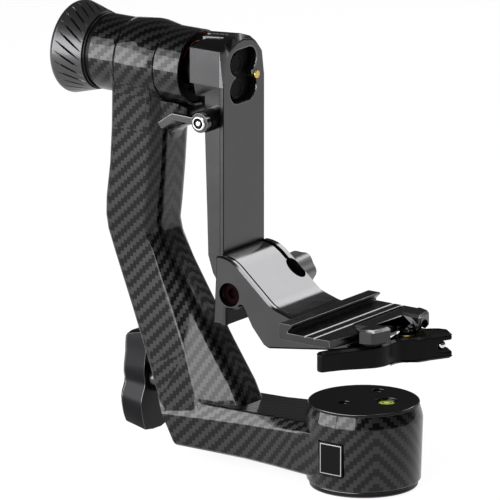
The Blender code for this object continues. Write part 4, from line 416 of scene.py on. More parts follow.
# %% Break the corners and place the piece
def round_corners(piece, surface, width, steps=2, angle=28, smooth=32, plain=None):
    """Bevels every corner sharper than the angle, and keeps the large faces flat in the shading."""
    piece.data.materials.clear()
    piece.data.materials.append(surface)
    piece.data.materials.append(CORNER_HIGHLIGHTS.get(surface, surface))
    bevel = piece.modifiers.new("broken_corners", "BEVEL")
    bevel.width = width
    bevel.segments = steps
    bevel.limit_method = "ANGLE"
    bevel.angle_limit = math.radians(angle)
    # The bevel faces take the second material, the painted highlight of the corners.
    bevel.material = 1
    bpy.ops.object.modifier_apply(modifier=bevel.name)
    bpy.ops.object.mode_set(mode="EDIT")
    bpy.ops.mesh.select_all(action="SELECT")
    bpy.ops.mesh.remove_doubles(threshold=0.000001)
    bpy.ops.object.mode_set(mode="OBJECT")
    bpy.ops.object.shade_smooth_by_angle(angle=math.radians(smooth))
    for face in piece.data.polygons:
        if plain and plain(face):
            face.use_smooth = False
    weighted = piece.modifiers.new("flat_faces", "WEIGHTED_NORMAL")
    weighted.keep_sharp = True
    bpy.ops.object.modifier_apply(modifier=weighted.name)


def body_name(node):
    """The name of the body that a frame solid rides on."""
    return next(name for name, empty in frame["bodies"].items() if empty == nodes[node].parent)


def place_piece(piece, surface, body, *stands_for):
    """Gives a finished piece its body, and its surface if it has none, and hides the solids that it
    stands for.
    """
    if not piece.data.materials:
        piece.data.materials.append(surface)
    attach(piece, body)
    if stands_for:
        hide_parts(*stands_for)
    surface in SLOTS
    piece.select_set(False)


def dress(node, surface, width, steps=2, angle=28, smooth=32):
    """Shows a solid of the frame with broken corners."""
    piece = merged_copy(node)
    round_corners(piece, surface, width, steps, angle, smooth)
    place_piece(piece, surface, body_name(node), node)
    return piece


print("dressing helpers ready")

# %% Dress the plain pieces
for node, surface, width in (
    ("base_plate", knob_grey, 0.00025),
    ("pan_lock_knob", knob_grey, 0.0003),
    ("knob_bearing", satin_grey, 0.0003),
    ("tilt_lever", satin_grey, 0.0003),
    ("base_cap", black, 0.0002),
    ("level_housing", black, 0.00015),
    ("thrust_washer", black, 0.0003),
    ("tilt_knob_cap", black, 0.0002),
    ("cap_screw_1", black_steel, 0.00015),
    ("cap_screw_2", black_steel, 0.00015),
    ("base_screw_rear", black_steel, 0.00015),
    ("base_screw_front", black_steel, 0.00015),
    ("lever_pivot_screw", black_steel, 0.00015),
    ("pan_knob_screw", steel, 0.0002),
    ("fork_ball", polished, 0.0002),
    ("brass_pin", brass, 0.0008),
):
    dressed = dress(node, surface, width)
    print(node, "faces", len(dressed.data.polygons))

# %% [markdown]
# ## The red pieces and the badge place
# The collar behind the tube is painted nearly black, as painted shade, and only its top edge keeps
# a painted highlight, where the light gets in. The badge place is a black plate, bare but for one
# thin silver line near its border.
# Two insets draw that line: the first sets its distance from the border, the second its width.

# %% Collar, height knob and clamp bolt
COLLAR_LIT_ABOVE = 0.231

collar = dress("red_collar", red, 0.0005, 3)
# Below this height the collar's bevel takes the dark red too, as painted shade; above it the bevel
# keeps the painted highlight.
for face in collar.data.polygons:
    if face.center.z < COLLAR_LIT_ABOVE:
        face.material_index = 0
dress("height_clamp_knob", silver_grey, 0.0009, 4, 28, 60)
bolt = dress("height_clamp_bolt", red, 0.0002)
# The bolt's bevel takes the dark red as well: painted shade, with no highlight.
for face in bolt.data.polygons:
    face.material_index = 0
print("red pieces dressed")

# %% Badge place with its silver line
LINE_FROM_BORDER = 0.0008
LINE_WIDTH = 0.0005

badge = merged_copy("badge_plate")
select_kind("FACE")
front = max(badge.data.polygons, key=lambda face: face.area * (face.normal.y < -0.3)).index
for thickness in (LINE_FROM_BORDER, LINE_WIDTH):
    for face in badge.data.polygons:
        face.select = face.index == front
    outward = badge.data.polygons[front].normal.copy()
    bpy.ops.object.mode_set(mode="EDIT")
    bpy.ops.mesh.inset(thickness=thickness, depth=0.00002)
    bpy.ops.object.mode_set(mode="OBJECT")
    front = next(face.index for face in badge.data.polygons if face.select)
select_kind("VERT")
facing = [
    face.index
    for face in badge.data.polygons
    if face.normal.dot(outward) > 0.9 and face.index != front
]
lined = sorted(facing)[-4:]
badge.data.materials.clear()
badge.data.materials.append(black)
badge.data.materials.append(steel)
for face in badge.data.polygons:
    face.material_index = 1 if face.index in lined else 0
place_piece(badge, steel, body_name("badge_plate"), "badge_plate")
print("badge place: faces of the silver line", lined)

# %% [markdown]
# ## Carbon cloth
# The arm is moulded from 2/2 twill: each tow of carbon passes over two tows and under two, and each
# next tow steps along by one, so that light and dark tows make stair-stepped diagonals. The cloth
# is laid flat on the sides and wraps round the tube and the drum. On the front of the drum and
# along the nose two lengths of it meet, and their diagonals make a V. A UV map in real lengths
# follows the cloth. The angles of the seam and of the join of each wrap are in radians.

# %% Lay the cloth on the arm
TILT_HEIGHT = 0.2233
TUBE_CLOTH_RADIUS = 0.0222
DRUM_CLOTH_RADIUS = 0.0328
CLOTH_SEAM = 0.83
CLOTH_JOIN = -2.6


def lay_cloth(piece):
    """Writes a UV map, in metres, that lies flat on the sides and wraps the tube and the drum."""
    mesh = piece.data
    laid = mesh.uv_layers.new(name="cloth")
    for face in mesh.polygons:
        centre = face.center
        normal = face.normal
        out = Vector((0, centre.y, centre.z - TILT_HEIGHT))
        from_pan = math.hypot(centre.x, centre.y)
        on_tube = 0.0205 < out.length < 0.0245 and centre.z > 0.2
        on_tube = on_tube and abs(normal.dot(out.normalized())) > 0.8
        on_drum = from_pan > 0.030 and centre.x > -0.026 and centre.z < 0.048
        on_drum = on_drum and abs(normal.z) < 0.6
        for corner in face.loop_indices:
            x, y, z = mesh.vertices[mesh.loops[corner].vertex_index].co
            if on_tube:
                turn = math.atan2(z - TILT_HEIGHT, -y)
                if turn < CLOTH_JOIN and out.z > 0:
                    turn += math.tau
                laid.data[corner].uv = (x, TUBE_CLOTH_RADIUS * turn)
            elif on_drum:
                turn = math.atan2(x, -y)
                if turn < CLOTH_JOIN and centre.x > 0:
                    turn += math.tau
                from_seam = CLOTH_SEAM - abs(turn - CLOTH_SEAM)
                laid.data[corner].uv = (DRUM_CLOTH_RADIUS * from_seam, z - TILT_HEIGHT)
            elif abs(normal.z) > 0.8:
                laid.data[corner].uv = (x, y)
            else:
                laid.data[corner].uv = (x - math.copysign(y, normal.x), z - TILT_HEIGHT)


print("the cloth wraps a tube of", TUBE_CLOTH_RADIUS, "and a drum of", DRUM_CLOTH_RADIUS)

# %% [markdown]
# ## The weave
# On the UV map, whole numbers of tows name the tow and fractions give the place in it. From both
# numbers comes which tow lies on top. The tow on top is painted paler, which gives the weave's
# pattern and is also painted sheen, and each tow is painted darker towards its edges and ends,
# which is painted shade between the tows. Each tow is pillowed, as a bundle of fibres is, and gets
# fine strands along its run. A coat over it stands for the clear lacquer.

# %% Carbon twill
TOW = 0.0022


def twill(name):
    """Carbon twill under clear lacquer."""
    made, tree, shader = new_surface(name)
    cloth = add_node(tree, "ShaderNodeUVMap", {"uv_map": "cloth"})
    split = add_node(tree, "ShaderNodeSeparateXYZ", None, (cloth,))
    across = (split + 1.0) * (1 / TOW)
    rise = (Wire(tree, split.socket.node.outputs[1]) + 1.0) * (1 / TOW)
    warp = across.floor()
    weft = rise.floor()
    along_warp = ((rise - warp + 1.0) * 0.25).fraction() * 2.0
    over = along_warp.below(1.0)
    along_weft = ((across - weft) * 0.25).fraction() * 2.0 - 1.0

    def pillow(wire):
        return (wire * (1.0 - wire)) * 4.0

    def tow_crown(wide, along):
        return pillow(wide.fraction()).math("POWER", 0.5) * pillow(along).math("POWER", 0.35)

    crown = tow_crown(across, along_warp) * over + tow_crown(rise, along_weft) * (1.0 - over)

    def fibres(wide, long):
        place = add_node(tree, "ShaderNodeCombineXYZ", None, (wide * 9.0, long * 0.7))
        noise = {"Vector": place, "Scale": 1.0, "Detail": 3.0}
        return add_node(tree, "ShaderNodeTexNoise", None, noise)

    strands = fibres(across, rise) * over + fibres(rise, across) * (1.0 - over)
    # The tow on top is painted paler, partly pattern and partly painted sheen; the crown term
    # paints shade at each tow's edges and ends.
    light = over * 0.84 + (crown - 0.6) * 0.16 + (strands - 0.5) * 0.3 + 0.04
    under, paler_with_sheen = (0.0015, 0.0015, 0.0016, 1), (0.028, 0.028, 0.029, 1)
    colour = mixed_colour(tree, light, under, paler_with_sheen)
    tree.links.new(colour.socket, shader.inputs["Base Color"])
    relief = {"Strength": 0.6, "Distance": 0.00006, "Height": crown * 0.7 + strands * 0.5}
    bump = add_node(tree, "ShaderNodeBump", None, relief)
    tree.links.new(bump.socket, shader.inputs["Normal"])
    shader.inputs["Roughness"].default_value = 0.42
    shader.inputs["Metallic"].default_value = 0.8
    shader.inputs["Specular IOR Level"].default_value = 0.03
    shader.inputs["Coat Weight"].default_value = 0.5
    shader.inputs["Coat Roughness"].default_value = 0.06
    return made


carbon = twill("carbon_twill")
SLOTS[carbon] = "carbon"
print("weave ready, tows of", TOW)

# %% [markdown]
# ## The arm
# Two narrow grooves run over the upper side of the tube, and the drum's wall is drawn in below the
# cap, in a small rounded step. Cuts are made at these places, and the points on them are moved
# towards the axis. Two more cuts follow the seams of the cloth, so that no face lies on both sides
# of a seam.

# %% Arm with its grooves and the drum's shoulder
RING_GROOVES = (-0.1571, -0.1303)
RING_CUTS = (-0.1584, -0.1571, -0.1558, -0.1320, -0.1303, -0.1286)
RING_DEPTH = 0.00055
SHOULDER_CUTS = (0.0405, 0.0425, 0.0445)
SHOULDER = {0.0425: 0.0001, 0.0445: 0.0004}
SHOULDER_TOP = 0.0007
AT_THE_PLACE = 0.00001
seam_direction = (math.cos(CLOTH_SEAM), math.sin(CLOTH_SEAM), 0)


def nose_or_back(face):
    """Faces that look along X, which a seam of the cloth runs down."""
    return abs(face.normal.z) < 0.9 and abs(face.normal.y) < 0.5


arm = merged_copy("carbon_arm")
slice_piece(arm, (1, 0, 0), RING_CUTS, lambda face: face.center.z > 0.2)
slice_piece(arm, (0, 0, 1), SHOULDER_CUTS, lambda face: face.center.x > -0.0260)
slice_piece(arm, seam_direction, (0,), lambda face: face.center.x > 0)
slice_piece(arm, (0, 1, 0), (0,), nose_or_back)
shaped = 0
for vertex in arm.data.vertices:
    place = vertex.co
    from_tilt = math.hypot(place.y, place.z - TILT_HEIGHT)
    from_pan = math.hypot(place.x, place.y)
    to_groove = min(abs(place.x - groove) for groove in RING_GROOVES)
    if to_groove < AT_THE_PLACE and 0.0208 < from_tilt < 0.0245:
        sink = RING_DEPTH * max(0.0, min(1.0, (place.z - 0.2030) / 0.0040))
        place.y *= 1 - sink / from_tilt
        place.z = TILT_HEIGHT + (place.z - TILT_HEIGHT) * (1 - sink / from_tilt)
        shaped += sink > 0
    if from_pan > 0.0300 and place.x > -0.0250 and place.z > 0.0420:
        here = [depth for height, depth in SHOULDER.items() if abs(place.z - height) < AT_THE_PLACE]
        inward = here[0] if here else SHOULDER_TOP
        place.x *= 1 - inward / from_pan
        place.y *= 1 - inward / from_pan
        shaped += 1
print("arm points drawn in:", shaped)
round_corners(arm, carbon, 0.0003, 2, 32, 20)
lay_cloth(arm)
place_piece(arm, carbon, "arm", "carbon_arm")
print("arm faces", len(arm.data.polygons))

# %% [markdown]
# ## The web under the tube
# Under the open end of the tube the column spreads forward in a hollow curve, which keeps the tube
# from bending. A block is stood in that corner and cut into slices. Each slice is then drawn
# forward by its own row of the table: its height, the X of its front and half its width.

# %% Web between column and tube
WEB_MIDDLE = -0.1400
WEB = (
    (0.1700, -0.1320, 0.0080),
    (0.1780, -0.1300, 0.0085),
    (0.1830, -0.1282, 0.0090),
    (0.1865, -0.1255, 0.0098),
    (0.1885, -0.1225, 0.0106),
    (0.1900, -0.1190, 0.0114),
    (0.1912, -0.1158, 0.0120),
    (0.1925, -0.1138, 0.0126),
    (0.2040, -0.1136, 0.0132),
)
bpy.ops.object.select_all(action="DESELECT")
bpy.ops.mesh.primitive_cube_add(size=1, location=(WEB_MIDDLE, 0, 0.1870))
web = bpy.context.object
web.name = "arm_web"
web.scale = (0.0220, 0.0200, 0.0340)
bpy.ops.object.transform_apply(location=True, rotation=True, scale=True)
bpy.ops.object.mode_set(mode="EDIT")
for height, _, _ in WEB[1:-1]:
    bpy.ops.mesh.select_all(action="SELECT")
    bpy.ops.mesh.bisect(plane_co=(0, 0, height), plane_no=(0, 0, 1))
bpy.ops.object.mode_set(mode="OBJECT")
for vertex in web.data.vertices:
    height, front, half = min(WEB, key=lambda row: abs(row[0] - vertex.co.z))
    if vertex.co.x > WEB_MIDDLE:
        vertex.co.x = front
    vertex.co.y = math.copysign(half, vertex.co.y)
    vertex.co.z = height
bpy.ops.object.mode_set(mode="EDIT")
bpy.ops.mesh.select_all(action="DESELECT")
bpy.ops.object.mode_set(mode="OBJECT")
for edge in web.data.edges:
    ends = [web.data.vertices[i].co for i in edge.vertices]
    upright = ends[0].y * ends[1].y > 0 and min(e.x for e in ends) > -0.1300
    edge.select = upright and abs(ends[0].z - ends[1].z) > 0.0005
bpy.ops.object.mode_set(mode="EDIT")
bpy.ops.mesh.bevel(offset=0.0060, segments=6, affect="EDGES")
bpy.ops.object.mode_set(mode="OBJECT")
round_corners(web, carbon, 0.0001, 1, 60, 40)
lay_cloth(web)
place_piece(web, carbon, "arm")
print("web faces", len(web.data.polygons))

# %% [markdown]
# ## The tilt lock knob
# The knob is turned as a cone with a rounded rim and a black ring at its small end. A cutter then
# runs across its flank at a slant, twenty-eight times, and each pass leaves a narrow groove that
# fades out at both ends. It is made here the same way, and first it is turned: rings are extruded
# along the axis of the tube, through the places and radii of its outline.


# %% Rings along the tube's axis
def turn_along_x(name, start, outline, steps):
    """Extrudes rings along the X axis of the tube, through the places and radii of the outline."""
    bpy.ops.object.select_all(action="DESELECT")
    x, radius = start
    bpy.ops.mesh.primitive_circle_add(
        vertices=steps, radius=radius, location=(x, 0, TILT_HEIGHT), rotation=(0, math.pi / 2, 0)
    )
    piece = bpy.context.object
    piece.name = name
    bpy.ops.object.transform_apply(location=True, rotation=True, scale=True)
    bpy.ops.object.mode_set(mode="EDIT")
    bpy.ops.mesh.select_all(action="SELECT")
    for next_x, next_radius in outline:
        bpy.ops.mesh.extrude_region_move(TRANSFORM_OT_translate={"value": (next_x - x, 0, 0)})
        ratio = next_radius / radius
        bpy.ops.transform.resize(value=(1, ratio, ratio), center_override=(next_x, 0, TILT_HEIGHT))
        x, radius = next_x, next_radius
    bpy.ops.object.mode_set(mode="OBJECT")
    return piece


def close_ring(piece):
    """Joins the first ring of a turned piece to its last, and points its faces outwards."""
    bpy.ops.object.mode_set(mode="EDIT")
    bpy.ops.mesh.select_all(action="SELECT")
    bpy.ops.mesh.remove_doubles(threshold=0.000001)
    bpy.ops.mesh.normals_make_consistent(inside=False)
    bpy.ops.object.mode_set(mode="OBJECT")


print("rings are turned about a height of", TILT_HEIGHT)

# %% Turn the knob
KNOB_NEAR = -0.1774
KNOB_FAR = -0.1999
KNOB_RING = 0.0020
KNOB_SMALL = 0.0218
KNOB_LARGE = 0.0264
KNOB_RIM = 0.0045
RIM_STEPS = 10
KNOB_STEPS = 168

flank_end = KNOB_FAR + KNOB_RIM
rim_turns = [math.pi / 2 * k / RIM_STEPS for k in range(RIM_STEPS + 1)]
rim = [
    (flank_end - KNOB_RIM * math.sin(turn), KNOB_LARGE - KNOB_RIM * (1 - math.cos(turn)))
    for turn in rim_turns
]
knob_outline = [
    (KNOB_NEAR, KNOB_SMALL - 0.0006),
    (KNOB_NEAR - 0.0004, KNOB_SMALL - 0.0002),
    (KNOB_NEAR - 0.0012, KNOB_SMALL - 0.0002),
    (KNOB_NEAR - 0.0012, KNOB_SMALL - 0.0008),
    (KNOB_NEAR - 0.0016, KNOB_SMALL - 0.0008),
    (KNOB_NEAR - 0.0016, KNOB_SMALL),
    (KNOB_NEAR - KNOB_RING, KNOB_SMALL + 0.0004),
    *rim,
    (KNOB_FAR + 0.0002, 0.0150),
    (KNOB_FAR + 0.0018, 0.0136),
    (KNOB_FAR + 0.0018, 0.0128),
    (KNOB_FAR + 0.0033, 0.0128),
    (KNOB_FAR + 0.0033, 0.0088),
    (KNOB_NEAR, 0.0088),
]
closed_outline = knob_outline[1:] + knob_outline[:1]
knob = turn_along_x("tilt_knob_grooved", knob_outline[0], closed_outline, KNOB_STEPS)
close_ring(knob)
print("knob turned:", len(knob.data.polygons), "faces")

# %% [markdown]
# ## The slanted grooves
# The cutter is a ball drawn out long and thin. It lies along the flank, turned aside by the slant,
# and only its lowest part reaches into the metal. It is made once and copied evenly round the axis.
# The copies are then joined to one object and cut away in one Boolean.

# %% Cutter for one groove
GROOVES = 28
FIRST_GROOVE = 0.35
GROOVE_TWIST = math.radians(26)
GROOVE_LENGTH, GROOVE_WIDTH, GROOVE_HEIGHT = 0.0150, 0.00085, 0.0030
GROOVE_DEPTH = 0.00115

middle = ((KNOB_NEAR - KNOB_RING + flank_end) / 2, (KNOB_SMALL + 0.0003 + KNOB_LARGE) / 2)
run = (flank_end - KNOB_NEAR + 0.0008, KNOB_LARGE - KNOB_SMALL)
slope = Vector((run[0], 0, run[1])).normalized()
outward = Vector((-slope.z, 0, slope.x)) * -1
slant = math.atan(middle[1] * GROOVE_TWIST / Vector(run).length)
length_axis = slope * math.cos(slant) + Vector((0, 1, 0)) * math.sin(slant)
width_axis = outward.cross(length_axis)
ball_axes = Matrix(
    (width_axis * GROOVE_WIDTH, outward * GROOVE_HEIGHT, length_axis * GROOVE_LENGTH)
).transposed()
start = Vector((middle[0], 0, middle[1])) + outward * (GROOVE_HEIGHT - GROOVE_DEPTH)
first_cutter = Matrix.Translation(start) @ ball_axes.to_4x4()
print("grooves lie aside by", round(math.degrees(slant), 1), "degrees")

# %% Cut the grooves
bpy.ops.object.select_all(action="DESELECT")
bpy.ops.mesh.primitive_uv_sphere_add(segments=12, ring_count=10, radius=1)
ball = bpy.context.object
cutters = [ball, *(own_copy(ball, "groove_cutter") for _ in range(GROOVES - 1))]
for k, cutter in enumerate(cutters):
    turn = Matrix.Rotation(math.tau * (k + FIRST_GROOVE) / GROOVES, 4, "X")
    cutter.matrix_world = Matrix.Translation((0, 0, TILT_HEIGHT)) @ turn @ first_cutter
    cutter.select_set(True)
bpy.context.view_layer.objects.active = cutters[-1]
bpy.ops.object.transform_apply(location=True, rotation=True, scale=True)
bpy.ops.object.join()
cutter = bpy.context.object
bpy.ops.object.mode_set(mode="EDIT")
bpy.ops.mesh.select_all(action="SELECT")
bpy.ops.mesh.normals_make_consistent(inside=False)
bpy.ops.object.mode_set(mode="OBJECT")
select_only(knob)
grooves = knob.modifiers.new("grooves", "BOOLEAN")
grooves.operation = "DIFFERENCE"
grooves.solver = "EXACT"
grooves.object = cutter
bpy.ops.object.modifier_apply(modifier=grooves.name)
bpy.data.objects.remove(cutter)
print("grooves cut:", GROOVES, "faces", len(knob.data.polygons))

# %% Painted shade in the grooves, and the black ring
FLANK_START = KNOB_SMALL + 0.0004
BELOW_FLANK = 0.00042

round_corners(knob, knob_satin, 0.0002, 2, 24, 30)
knob.data.materials.append(black)
dark = 0
# Faces at the small end are the black ring; faces below the flank, in the bottoms of the grooves,
# are painted black as painted shade.
for face in knob.data.polygons:
    centre = face.center
    along = (KNOB_NEAR - KNOB_RING - centre.x) / (KNOB_NEAR - KNOB_RING - flank_end)
    radius = math.hypot(centre.y, centre.z - TILT_HEIGHT)
    flank = FLANK_START + (KNOB_LARGE - FLANK_START) * along
    if along < 0.0 or (along < 1.05 and radius < flank - BELOW_FLANK):
        face.material_index = 2
        dark += 1
place_piece(knob, knob_satin, "tilt_knob", "tilt_lock_knob")
print("dark faces in the grooves and the ring:", dark)
print("knob finished:", len(knob.data.polygons), "faces")

# %% [markdown]
# ## The button screw of the cranked lever
# A polished screw with a countersunk ring round a small raised centre. Its outline is drawn once
# and turned, so that the rim, the groove and the centre all share one axis. The groove is painted
# black, as painted shade. The outline starts and ends at a spot on the axis that is too small to
# see, since a ring of no size can't be scaled.

# %% Turn a piece about any axis
SPOT = 0.00003


def turned_piece(name, axis, centre, outline, steps):
    """Turns a closed outline of (along, radius) points about an axis through the centre."""
    bpy.ops.object.select_all(action="DESELECT")
    along, radius = outline[0]
    bpy.ops.mesh.primitive_circle_add(vertices=steps, radius=radius, location=(0, 0, along))
    piece = bpy.context.object
    piece.name = name
    bpy.ops.object.transform_apply(location=True, rotation=True, scale=True)
    bpy.ops.object.mode_set(mode="EDIT")
    bpy.ops.mesh.select_all(action="SELECT")
    for next_along, next_radius in [*outline[1:], outline[0]]:
        step = {"value": (0, 0, next_along - along)}
        bpy.ops.mesh.extrude_region_move(TRANSFORM_OT_translate=step)
        ratio = next_radius / radius
        bpy.ops.transform.resize(value=(ratio, ratio, 1), center_override=(0, 0, next_along))
        along, radius = next_along, next_radius
    bpy.ops.object.mode_set(mode="OBJECT")
    piece.rotation_mode = "QUATERNION"
    piece.rotation_quaternion = Vector(axis).to_track_quat("Z", "Y")
    piece.location = centre
    bpy.ops.object.transform_apply(location=True, rotation=True, scale=True)
    close_ring(piece)
    return piece


print("turned pieces start from a spot of", SPOT)

# %% Button screw
CRANK_X, CRANK_Z = -0.0913, 0.2006
BUTTON_FRONT = -0.0303

button = turned_piece(
    "crank_button_screw",
    (0, -1, 0),
    (CRANK_X, BUTTON_FRONT, CRANK_Z),
    (
        (-0.0100, SPOT),
        (-0.0100, 0.0025),
        (0.0000, 0.0025),
        (0.0000, 0.0042),
        (0.0007, 0.0042),
        (0.0012, 0.0039),
        (0.0015, 0.0034),
        (0.0014, 0.0031),
        (0.0005, 0.0030),
        (0.0005, 0.0018),
        (0.0012, 0.0016),
        (0.0017, 0.0012),
        (0.0017, 0.0007),
        (0.0012, 0.0005),
        (0.0012, SPOT),
    ),
    40,
)
round_corners(button, button_steel, 0.00012, 2, 30, 40)
groove_shade_faces = 0
button.data.materials.append(black)
# Faces in the groove round the centre are painted black: painted shade.
for face in button.data.polygons:
    centre = face.center
    from_axis = math.hypot(centre.x - CRANK_X, centre.z - CRANK_Z)
    if 0.00165 < from_axis < 0.00315 and centre.y < BUTTON_FRONT - 0.0001:
        face.material_index = 2
        groove_shade_faces += 1
place_piece(button, button_steel, "crank", "tilt_lever_screw")
print("button faces", len(button.data.polygons), "dark", groove_shade_faces)

# %% [markdown]
# ## The clamp and its lever
# The clamp is milled from bar and dyed black. The faces that slope, which are found by their
# normals, get a painted highlight. The rim of the jaw has a wide chamfer, and the lever's ends are
# rounded for the finger, so these edges are bevelled first and the small corners are broken after
# them.

# %% Bevel chosen edges
def bevel_edges(piece, wanted, offset, segments):
    """Bevels the edges of a piece whose two ends pass the test."""
    points = piece.data.vertices
    select_kind("EDGE")
    chosen = 0
    for edge in piece.data.edges:
        edge.select = wanted(*(points[i].co for i in edge.vertices))
        chosen += edge.select
    bpy.ops.object.mode_set(mode="EDIT")
    bpy.ops.mesh.bevel(offset=offset, segments=segments, affect="EDGES")
    bpy.ops.object.mode_set(mode="OBJECT")
    select_kind("VERT")
    return chosen


print("edge bevel ready")

# %% Clamp, jaw and lever
CLAMP_TOP = 0.0983
CLAMP_MIDDLE = 0.001
CHANNEL_HALF = 0.0136


def paint_facet_highlights(piece, surface, beyond=0.0):
    """Gives a painted highlight to the faces that slope as chamfers do and lie far enough out."""
    piece.data.materials.append(surface)
    count = 0
    for face in piece.data.polygons:
        if 0.2 < face.normal.z < 0.93 and abs(face.center.y - CLAMP_MIDDLE) > beyond:
            face.material_index = len(piece.data.materials) - 1
            count += 1
    return count


def outer_rim(a, b):
    """Edges round the top of the jaw, on its outer side."""
    return min(a.z, b.z) > CLAMP_TOP - 0.0002 and min(a.x, b.x) > 0.0150


def upright_end(a, b):
    """Upright edges at the two ends of the lever."""
    upright = abs(a.z - b.z) > 0.003 and math.hypot(a.x - b.x, a.y - b.y) < 0.0005
    return upright and (a.y < -0.0470 or a.x > 0.0285)


clamp = dress("clamp_base", clamp_grey, 0.0003)
print("clamp facets", paint_facet_highlights(clamp, black_corner_highlight))

jaw = merged_copy("moving_jaw")
print("jaw rim edges", bevel_edges(jaw, outer_rim, 0.0016, 1))
round_corners(jaw, clamp_grey, 0.0003)
print("jaw facets", paint_facet_highlights(jaw, facet_highlight, CHANNEL_HALF))
place_piece(jaw, clamp_grey, body_name("moving_jaw"), "moving_jaw")

lever = merged_copy("jaw_lever")
print("lever end edges", bevel_edges(lever, upright_end, 0.0012, 4))
round_corners(lever, black, 0.0006, 3)
place_piece(lever, black, body_name("jaw_lever"), "jaw_lever")

# %% [markdown]
# ## The swing arm
# One bar of aluminium carries the hub, the boss for the cranked lever and the pocket for two large
# screws. The pocket's broken rim, the two grooves on the hub and some sloping facets get a painted
# highlight. Inside the pocket, round the boss and in a thin strip along the plate's near edge, the
# arm is painted black, as painted shade. The faces of each finish are found by their place: behind
# the plate's front, along its edge, or round the boss.

# %% Swing arm and the rim of its pocket
PLATE_FRONT = -0.0827
PLATE_EDGE = -0.0188
POCKET_HALF_WIDTH = 0.0155
POCKET_HALF_HEIGHT = 0.0205
PIN_BELOW_TILT = 0.0019

swing = merged_copy("swing_arm")
slice_piece(swing, (0, 1, 0), (PLATE_EDGE,))


def pocket_rim(a, b):
    """Edges of the pocket on the plate's front, but not beside the brass pin."""
    on_front = max(abs(end.x - PLATE_FRONT) for end in (a, b)) < 0.0002
    in_width = max(abs(end.y) for end in (a, b)) < POCKET_HALF_WIDTH
    in_height = max(abs(end.z - TILT_HEIGHT) for end in (a, b)) < POCKET_HALF_HEIGHT
    from_pin = (a.z + b.z) / 2 - TILT_HEIGHT + PIN_BELOW_TILT
    beside_pin = max(a.y, b.y) > 0.0085 and abs(from_pin) < 0.0050
    return on_front and in_width and in_height and not beside_pin


print("pocket rim edges", bevel_edges(swing, pocket_rim, 0.0008, 2))
round_corners(swing, satin_grey, 0.0004)
place_piece(swing, satin_grey, body_name("swing_arm"), "swing_arm")

# %% Painted shade and painted highlights of the swing arm
swing.data.materials.append(black_and_painted_shade)
counts = {"pocket": 0, "rim": 0, "groove": 0, "boss": 0, "edge": 0, "facet": 0}
# Index 2 paints shade: inside the pocket, round the boss and on a thin strip along the plate's near
# edge. Index 1 paints highlights: on the pocket's rim, in the hub's two grooves and on sloping
# facets.
for face in swing.data.polygons:
    centre = face.center
    normal = face.normal
    behind_plate = PLATE_FRONT - 0.0065 < centre.x < PLATE_FRONT - 0.0010
    in_pocket = abs(centre.y) < 0.0165 and abs(centre.z - TILT_HEIGHT) < 0.0212
    from_crank = math.hypot(centre.x - CRANK_X, centre.z - CRANK_Z)
    if in_pocket and behind_plate:
        face.material_index = 2
        counts["pocket"] += 1
    elif in_pocket and 0.2 < normal.x < 0.95 and centre.x > PLATE_FRONT - 0.0011:
        face.material_index = 1
        counts["rim"] += 1
    elif centre.z > TILT_HEIGHT + 0.0165 and normal.y < -0.4 and abs(centre.y) < 0.012:
        face.material_index = 1
        counts["groove"] += 1
    elif centre.y < -0.0205 and from_crank < 0.0066:
        face.material_index = 2
        counts["boss"] += 1
    elif centre.y < PLATE_EDGE and centre.z < 0.2150 and centre.x > PLATE_FRONT - 0.0004:
        face.material_index = 2
        counts["edge"] += 1
    elif normal.x > 0.2 and normal.y < -0.4 and centre.x > -0.0890 and centre.z > 0.205:
        face.material_index = 1
        counts["facet"] += 1
print("swing arm faces by finish:", counts)

# %% [markdown]
# ## The two screws in the pocket
# Both are alike, so one is turned from its outline and the other is a copy of it, moved down and
# given its place in its own mesh.

# %% Screws of the swing arm
SCREW_ABOVE_TILT = 0.0071

screw = turned_piece(
    "arm_screw_disc",
    (1, 0, 0),
    (-0.0884, -0.0052, TILT_HEIGHT + SCREW_ABOVE_TILT),
    (
        (-0.0190, SPOT),
        (-0.0190, 0.0030),
        (0.0000, 0.0030),
        (0.0000, 0.0058),
        (0.0042, 0.0058),
        (0.0045, 0.0055),
        (0.0045, 0.0049),
        (0.0040, 0.0044),
        (0.0040, SPOT),
    ),
    48,
)
round_corners(screw, black_and_painted_shade, 0.00012, 2, 30, 40)
lower_screw = own_copy(screw, "arm_screw_disc_lower")
lower_screw.location.z = -2 * SCREW_ABOVE_TILT
select_only(lower_screw)
bpy.ops.object.transform_apply(location=True, rotation=True, scale=True)
place_piece(screw, black_steel, "swing", "arm_screw_upper")
place_piece(lower_screw, black_steel, "swing", "arm_screw_lower")
print("arm screws", len(screw.data.polygons))

# %% [markdown]
# ## The foot
# The top of the foot runs from the plate to the slope in one long curve, which the light shows as
# a soft grey band. A few cuts are made across the top, and its points are then set on that curve,
# which three control points draw. Towards the far side a slit lets the bolt pinch the foot onto the
# plate, and a thin groove runs along the near lip. The bore, a channel low in the foot, the slit
# and the lip groove are painted black, as painted shade.

# %% Long curve over the foot's top
FOOT_TOP = 0.124
SLOPE_START, SLOPE_DROP, SLOPE_BLEND = -0.0745, 0.8427, 0.00146
CURVE = ((-0.0826, 0.1240), (-0.0750, 0.1240), (-0.0690, 0.11935))
TOP_CUTS = (-0.0815, -0.0800, -0.0785, -0.0722, -0.0706, -0.0690, -0.0680)


def faces_up(face):
    """The top of the foot and its slope."""
    return face.center.z > 0.1000 and face.normal.z > 0.3


def curve_height(x):
    """Height of the long curve at X."""
    (xa, za), (xb, zb), (xc, zc) = CURVE
    low, high = 0.0, 1.0
    for _ in range(30):
        t = (low + high) / 2
        if (1 - t) ** 2 * xa + 2 * t * (1 - t) * xb + t * t * xc < x:
            low = t
        else:
            high = t
    return (1 - t) ** 2 * za + 2 * t * (1 - t) * zb + t * t * zc


